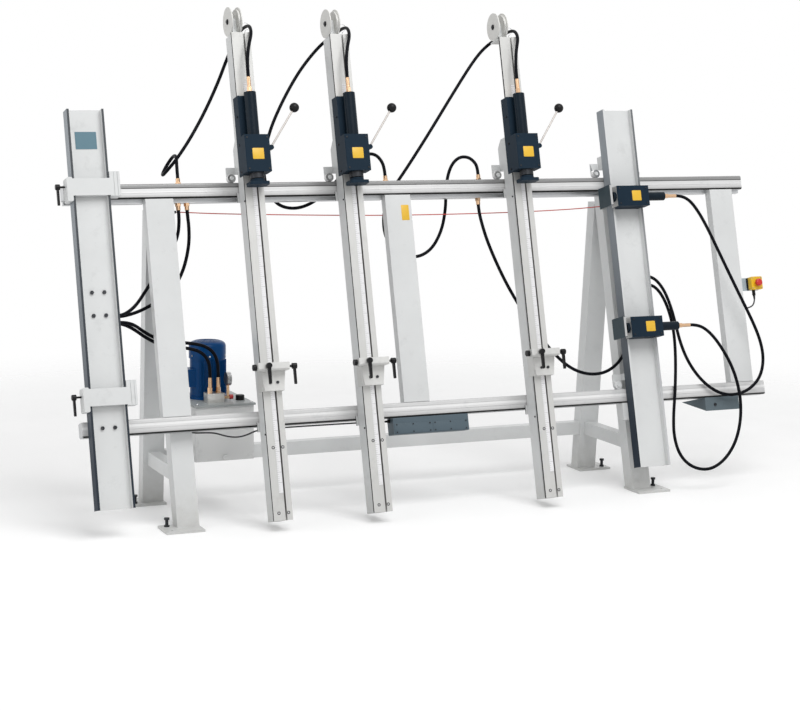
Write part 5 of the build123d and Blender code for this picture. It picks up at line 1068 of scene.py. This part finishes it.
class PRESS_OT_beams(bpy.types.Operator):
    """Finish the left beam with its collars and the right beam with its side heads"""
    bl_idname = "press.beams"
    bl_label = "Beams and side heads"

    shoe_x, barrel_x, fitting_x, rod_x = 1165.5, 1358.5, 1464.5, 1120.5
    foot_half_s, foot_half_d = 54.5, 62.5
    patch_x, screws_x, screws_s = 1282, (1182, 1342), (-40, 40)

    def execute(self, context):
        dress("left_beam", "beam_enamel",
              # Flange outer face and flange toes: bare steel with painted shade, darker towards the foot.
              ("flange_steel", lambda x, s, d: x < -1721.5),
              ("flange_edge", lambda x, s, d: d > 69.5),
              ("teal_plate", lambda x, s, d: within(d, 39.2, 40.8) & within(s, 1859, 1945)),
              ("grey_steel", lambda x, s, d: d < -0.5))
        dress("right_beam", "beam_enamel",
              # Left flange: bare steel with painted shade, darker towards the foot; right toe: painted
              # lighter at its foot and darker towards its top.
              ("flange_steel", lambda x, s, d: (d > 6.5) & (x < 1172.5)),
              ("pale_edge", lambda x, s, d: (d > 75.5) & (x > 1300)),
              ("grey_steel", lambda x, s, d: (d < -8) & within(s, 1000, 1200)),
              ("ground_steel", lambda x, s, d: within(d, -34, -8) & within(s, 1698, 1742)))
        for end, middle in SIDE_HEADS.items():
            dress(f"stop_collar_{end}", "frame_enamel")
            dress(f"collar_lever_{end}", "dark_plastic")
            self.dress_side_head(end, middle)
            make_piece(f"side_patch_{end}", plate(54, 54, 0.6, 4), "patch_film", f"side_{end}",
                       facing((self.patch_x, middle, SIDE_FRONT), OUT))
            places = [(x, middle + s, SIDE_FRONT) for x in self.screws_x for s in self.screws_s]
            make_set(f"side_screws_{end}", "dark_steel", f"side_{end}", "black_steel",
                     (cap_screw, (9, 3), places, OUT))
        return {"FINISHED"}

    def dress_side_head(self, end, middle):
        def rim(x, s, d):
            return (abs(s - middle) > self.foot_half_s) | (abs(d - SIDE_AXIS) > self.foot_half_d)

        def barrel(x, s, d):
            return (x < self.shoe_x) | within(x, self.barrel_x, self.fitting_x)

        dress(f"side_head_{end}", "head_enamel",
              ("ledge_cast", lambda x, s, d: within(x, self.shoe_x, self.shoe_x + 1)),
              ("barrel_enamel", barrel),
              ("brass", lambda x, s, d: x > self.fitting_x))
        dress(f"side_ram_{end}", "foot_enamel",
              ("ground_steel", rim),
              ("dark_steel", lambda x, s, d: x > self.rod_x))


class PRESS_OT_power_unit(bpy.types.Operator):
    """Finish the oil tank, the motor with its fins and grille, the valve block and the gauge"""
    bl_idname = "press.power_unit"
    bl_label = "Power unit"

    motor = (-1000, 150)
    fin, fin_edge, fin_radius, fin_foot, fin_count = (9, 2.4, 172), 0.7, 90, 578, 40
    terminal_x, terminal_half = -55, 62
    grille_radii, grille_half, grille_z = (22, 36, 50, 64), 2, 842.6
    cowl_radius, cowl_z, cowl_turn = 92.8, 775, 20
    lid_bolts = [(x, y, 557) for x in (-1125, -849) for y in (-76, 112, 300)]
    gauge_x, gauge_y, gauge_z, dial_radius, rim_radius = -935, -12.5, 672, 31, 35.5
    tick, tick_radius, tick_sweep, tick_steps = (1.2, 5, 0.5), 22, math.radians(270), 12
    needle, needle_reach, needle_turn = (1.4, 24, 0.8), 8, 0.7

    def execute(self, context):
        dress("oil_tank", "tank_enamel")
        dress("tank_lid", "lid_enamel")
        dress("gear_pump", "pump_cast")
        dress("pump_motor", "motor_enamel")
        self.dress_fittings()
        self.make_motor_details()
        self.make_screws()
        self.make_gauge_marks()
        return {"FINISHED"}

    def dress_fittings(self):
        def off_gauge(y, z):
            return np.hypot(y - self.gauge_y, z - self.gauge_z)

        dress("tank_fittings", "valve_block_alloy",
              ("brass", lambda x, y, z: within(z, 603.5, 700) & within(x, -1060, -965)),
              ("brass", lambda x, y, z: within(x, -967.5, -930) & (z > 560)),
              ("ground_steel", lambda x, y, z: (off_gauge(y, z) < self.rim_radius) & (x > -960)),
              ("dial_face", lambda x, y, z: (off_gauge(y, z) < self.dial_radius) & (x > -936)),
              ("grey_steel", lambda x, y, z: (off_gauge(y, z) < self.dial_radius) & within(x, -960, -956)),
              ("knob_red", lambda x, y, z: within(x, -939.5, -915) & within(z, 560, 604) & (y < 10)),
              ("dark_plastic", lambda x, y, z: np.hypot(x + 872, y - 20) < 23.5),
              ("tank_enamel", lambda x, y, z: z < 320), space=UPRIGHT)

    def make_motor_details(self):
        fins = bmesh.new()
        add(fins, block(self.fin, self.fin_edge), Matrix.Translation((self.fin_radius, 0, self.fin_foot)))
        gaps = self.fin_count - 1
        repeated(fins, 2 * math.pi * gaps / self.fin_count, gaps)
        gone = [vertex for vertex in fins.verts
                if vertex.co.x < self.terminal_x and abs(vertex.co.y) < self.terminal_half]
        bmesh.ops.delete(fins, geom=gone, context="VERTS")
        make_piece("motor_fins", fins, "motor_enamel", "frame",
                   UPRIGHT @ Matrix.Translation((*self.motor, 0)))
        grille = bmesh.new()
        for radius in self.grille_radii:
            low, high = radius - self.grille_half, radius + self.grille_half
            ring = turned(((low, 0), (high, 0), (high, 2), (low, 2), (low, 0)), 40)
            add(grille, ring, facing((*self.motor, self.grille_z), OUT, UPRIGHT))
        make_piece("fan_grille", grille, "motor_enamel", "frame")

    def make_screws(self):
        sets = []
        for turn in range(0, 360, 60):
            angle = math.radians(turn + self.cowl_turn)
            way = (math.cos(angle), math.sin(angle), 0)
            side = [middle + share * self.cowl_radius for middle, share in zip(self.motor, way)]
            sets.append((cap_screw, (9, 4), [(*side, self.cowl_z)], way))
        sets.append((hex_bolt, (10, 7), self.lid_bolts, OUT))
        make_set("power_unit_screws", "ground_steel", "frame", "bright_steel", *sets, space=UPRIGHT)

    def make_gauge_marks(self):
        ticks = bmesh.new()
        add(ticks, block(self.tick), Matrix.Translation((0, self.tick_radius, 0)))
        repeated(ticks, self.tick_sweep, self.tick_steps)
        reach = Matrix.Translation((0, self.needle_reach, 0))
        add(ticks, block(self.needle), Matrix.Rotation(self.needle_turn, 4, "Z") @ reach)
        make_piece("gauge_marks", ticks, "dark_plastic", "frame",
                   facing((self.gauge_x, self.gauge_y, self.gauge_z), RIGHT, UPRIGHT))


class PRESS_OT_emergency_stop(bpy.types.Operator):
    """Finish the emergency stop box, its button and screws"""
    bl_idname = "press.emergency_stop"
    bl_label = "Emergency stop"

    cover_back, cover_foot, shelf_front = -26.5, 1061, -45.5
    cover_screws = [(x, s, 6) for x in (2032.5, 2087.5) for s in (1069.5, 1124.5)]

    def execute(self, context):
        dress("estop_box", "dark_plastic",
              ("stop_cover", lambda x, s, d: (d > self.cover_back) & (s > self.cover_foot)),
              ("shelf_enamel", lambda x, s, d: d < self.shelf_front))
        dress("estop_button", "stop_red_plastic")
        make_set("stop_box_screws", "grey_steel", "frame", "bright_steel",
                 (cap_screw, (6, 2), self.cover_screws, OUT))
        return {"FINISHED"}


class PRESS_OT_studio(bpy.types.Operator):
    """Lay the pale floor and hang the lamps"""
    bl_idname = "press.studio"
    bl_label = "Studio"

    aim = (0, 0, 1)
    key_place, key_size = (0.6, -5.2, 8.6), 6.0
    side_place, side_size = (-7.0, -0.6, 2.6), 5.0
    floor_radius, fade_from, fade_to, floor_lift = 9, 2.6, 6.0, 0.13

    def execute(self, context):
        studio = context.scene.press_studio
        self.make_world(context, studio)
        self.make_floor(context, studio)
        self.make_lamp(context, "key_lamp", studio.key, self.key_place, self.key_size)
        self.make_lamp(context, "side_lamp", studio.side, self.side_place, self.side_size)
        return {"FINISHED"}

    def make_world(self, context, studio):
        """Sky that looks white to the camera, a mirror or a glass and lights with less."""
        world = bpy.data.worlds.new("studio_sky")
        world.use_nodes = True
        tree = world.node_tree
        rays = new_node(tree, "LightPath").outputs
        seen = sums(tree, "MAXIMUM", rays["Is Camera Ray"], rays["Is Glossy Ray"])
        seen = sums(tree, "MAXIMUM", seen, rays["Is Transmission Ray"])
        feed(tree, tree.nodes["Background"].inputs, {
            "Color": (1, 1, 1, 1),
            "Strength": sums(tree, "MULTIPLY_ADD", seen, 1 - studio.sky, studio.sky),
        })
        context.scene.world = world

    def make_floor(self, context, studio):
        """Round floor that fades out into the sky."""
        tree, shader, place = new_finish("studio_floor")
        fleck = noise(tree, place, Scale=3, Detail=4)
        lift = new_node(tree, "LightPath").outputs["Is Camera Ray"]
        feed(tree, shader.inputs, {
            "Base Color": ramped(tree, fleck, (0.3, opaque(studio.floor, 0.97)), (0.7, opaque(studio.floor))),
            "Roughness": 0.75,
            "Emission Color": (1, 1, 1, 1),
            "Emission Strength": sums(tree, "MULTIPLY", lift, self.floor_lift),
        })
        distance = new_node(tree, "VectorMath", {0: place}, operation="LENGTH").outputs["Value"]
        fade = mapped(tree, distance, self.fade_from, self.fade_to, interpolation_type="SMOOTHSTEP")
        clear = new_node(tree, "BsdfTransparent").outputs[0]
        mixed = new_node(tree, "MixShader", {0: fade, 1: shader.outputs[0], 2: clear}).outputs[0]
        feed(tree, tree.nodes["Material Output"].inputs, {"Surface": mixed})
        shape = bmesh.new()
        bmesh.ops.create_circle(shape, cap_ends=True, radius=self.floor_radius, segments=96)
        mesh = bpy.data.meshes.new("floor")
        shape.to_mesh(mesh)
        shape.free()
        mesh.materials.append(bpy.data.materials["studio_floor"])
        floor = bpy.data.objects.new("floor", mesh)
        context.scene.collection.objects.link(floor)

    def make_lamp(self, context, name, watts, place, size):
        data = bpy.data.lights.new(name, "AREA")
        data.energy = watts
        data.size = size
        lamp = bpy.data.objects.new(name, data)
        ahead = Vector(self.aim) - Vector(place)
        lamp.matrix_world = Matrix.Translation(place) @ ahead.to_track_quat("-Z", "Y").to_matrix().to_4x4()
        context.scene.collection.objects.link(lamp)


class PRESS_PT_panel(bpy.types.Panel):
    """Steps that dress the press, in order"""
    bl_idname = "PRESS_PT_panel"
    bl_label = "Frame assembly press"
    bl_space_type = "VIEW_3D"
    bl_region_type = "UI"
    bl_category = "Press"

    def draw(self, context):
        for operator in OPERATORS:
            self.layout.operator(operator.bl_idname)


GROUPS = {"press_colours": PressColours, "press_sizes": PressSizes, "press_studio": PressStudio}
OPERATORS = (
    PRESS_OT_camera, PRESS_OT_shader_groups, PRESS_OT_head_hoses, PRESS_OT_side_hoses, PRESS_OT_supply_hoses,
    PRESS_OT_lines, PRESS_OT_reel_wires, PRESS_OT_stand, PRESS_OT_rails, PRESS_OT_clamps, PRESS_OT_reels,
    PRESS_OT_heads, PRESS_OT_stops, PRESS_OT_beams, PRESS_OT_power_unit, PRESS_OT_emergency_stop,
    PRESS_OT_studio,
)


def register():
    for name, group in GROUPS.items():
        bpy.utils.register_class(group)
        setattr(bpy.types.Scene, name, PointerProperty(type=group))
    for operator in OPERATORS:
        bpy.utils.register_class(operator)
    bpy.utils.register_class(PRESS_PT_panel)


def unregister():
    bpy.utils.unregister_class(PRESS_PT_panel)
    for operator in reversed(OPERATORS):
        bpy.utils.unregister_class(operator)
    for name, group in GROUPS.items():
        delattr(bpy.types.Scene, name)
        bpy.utils.unregister_class(group)


def main():
    register()
    for operator in OPERATORS:
        getattr(bpy.ops.press, operator.bl_idname.split(".")[1])()


if __name__ == "__main__":
    main()
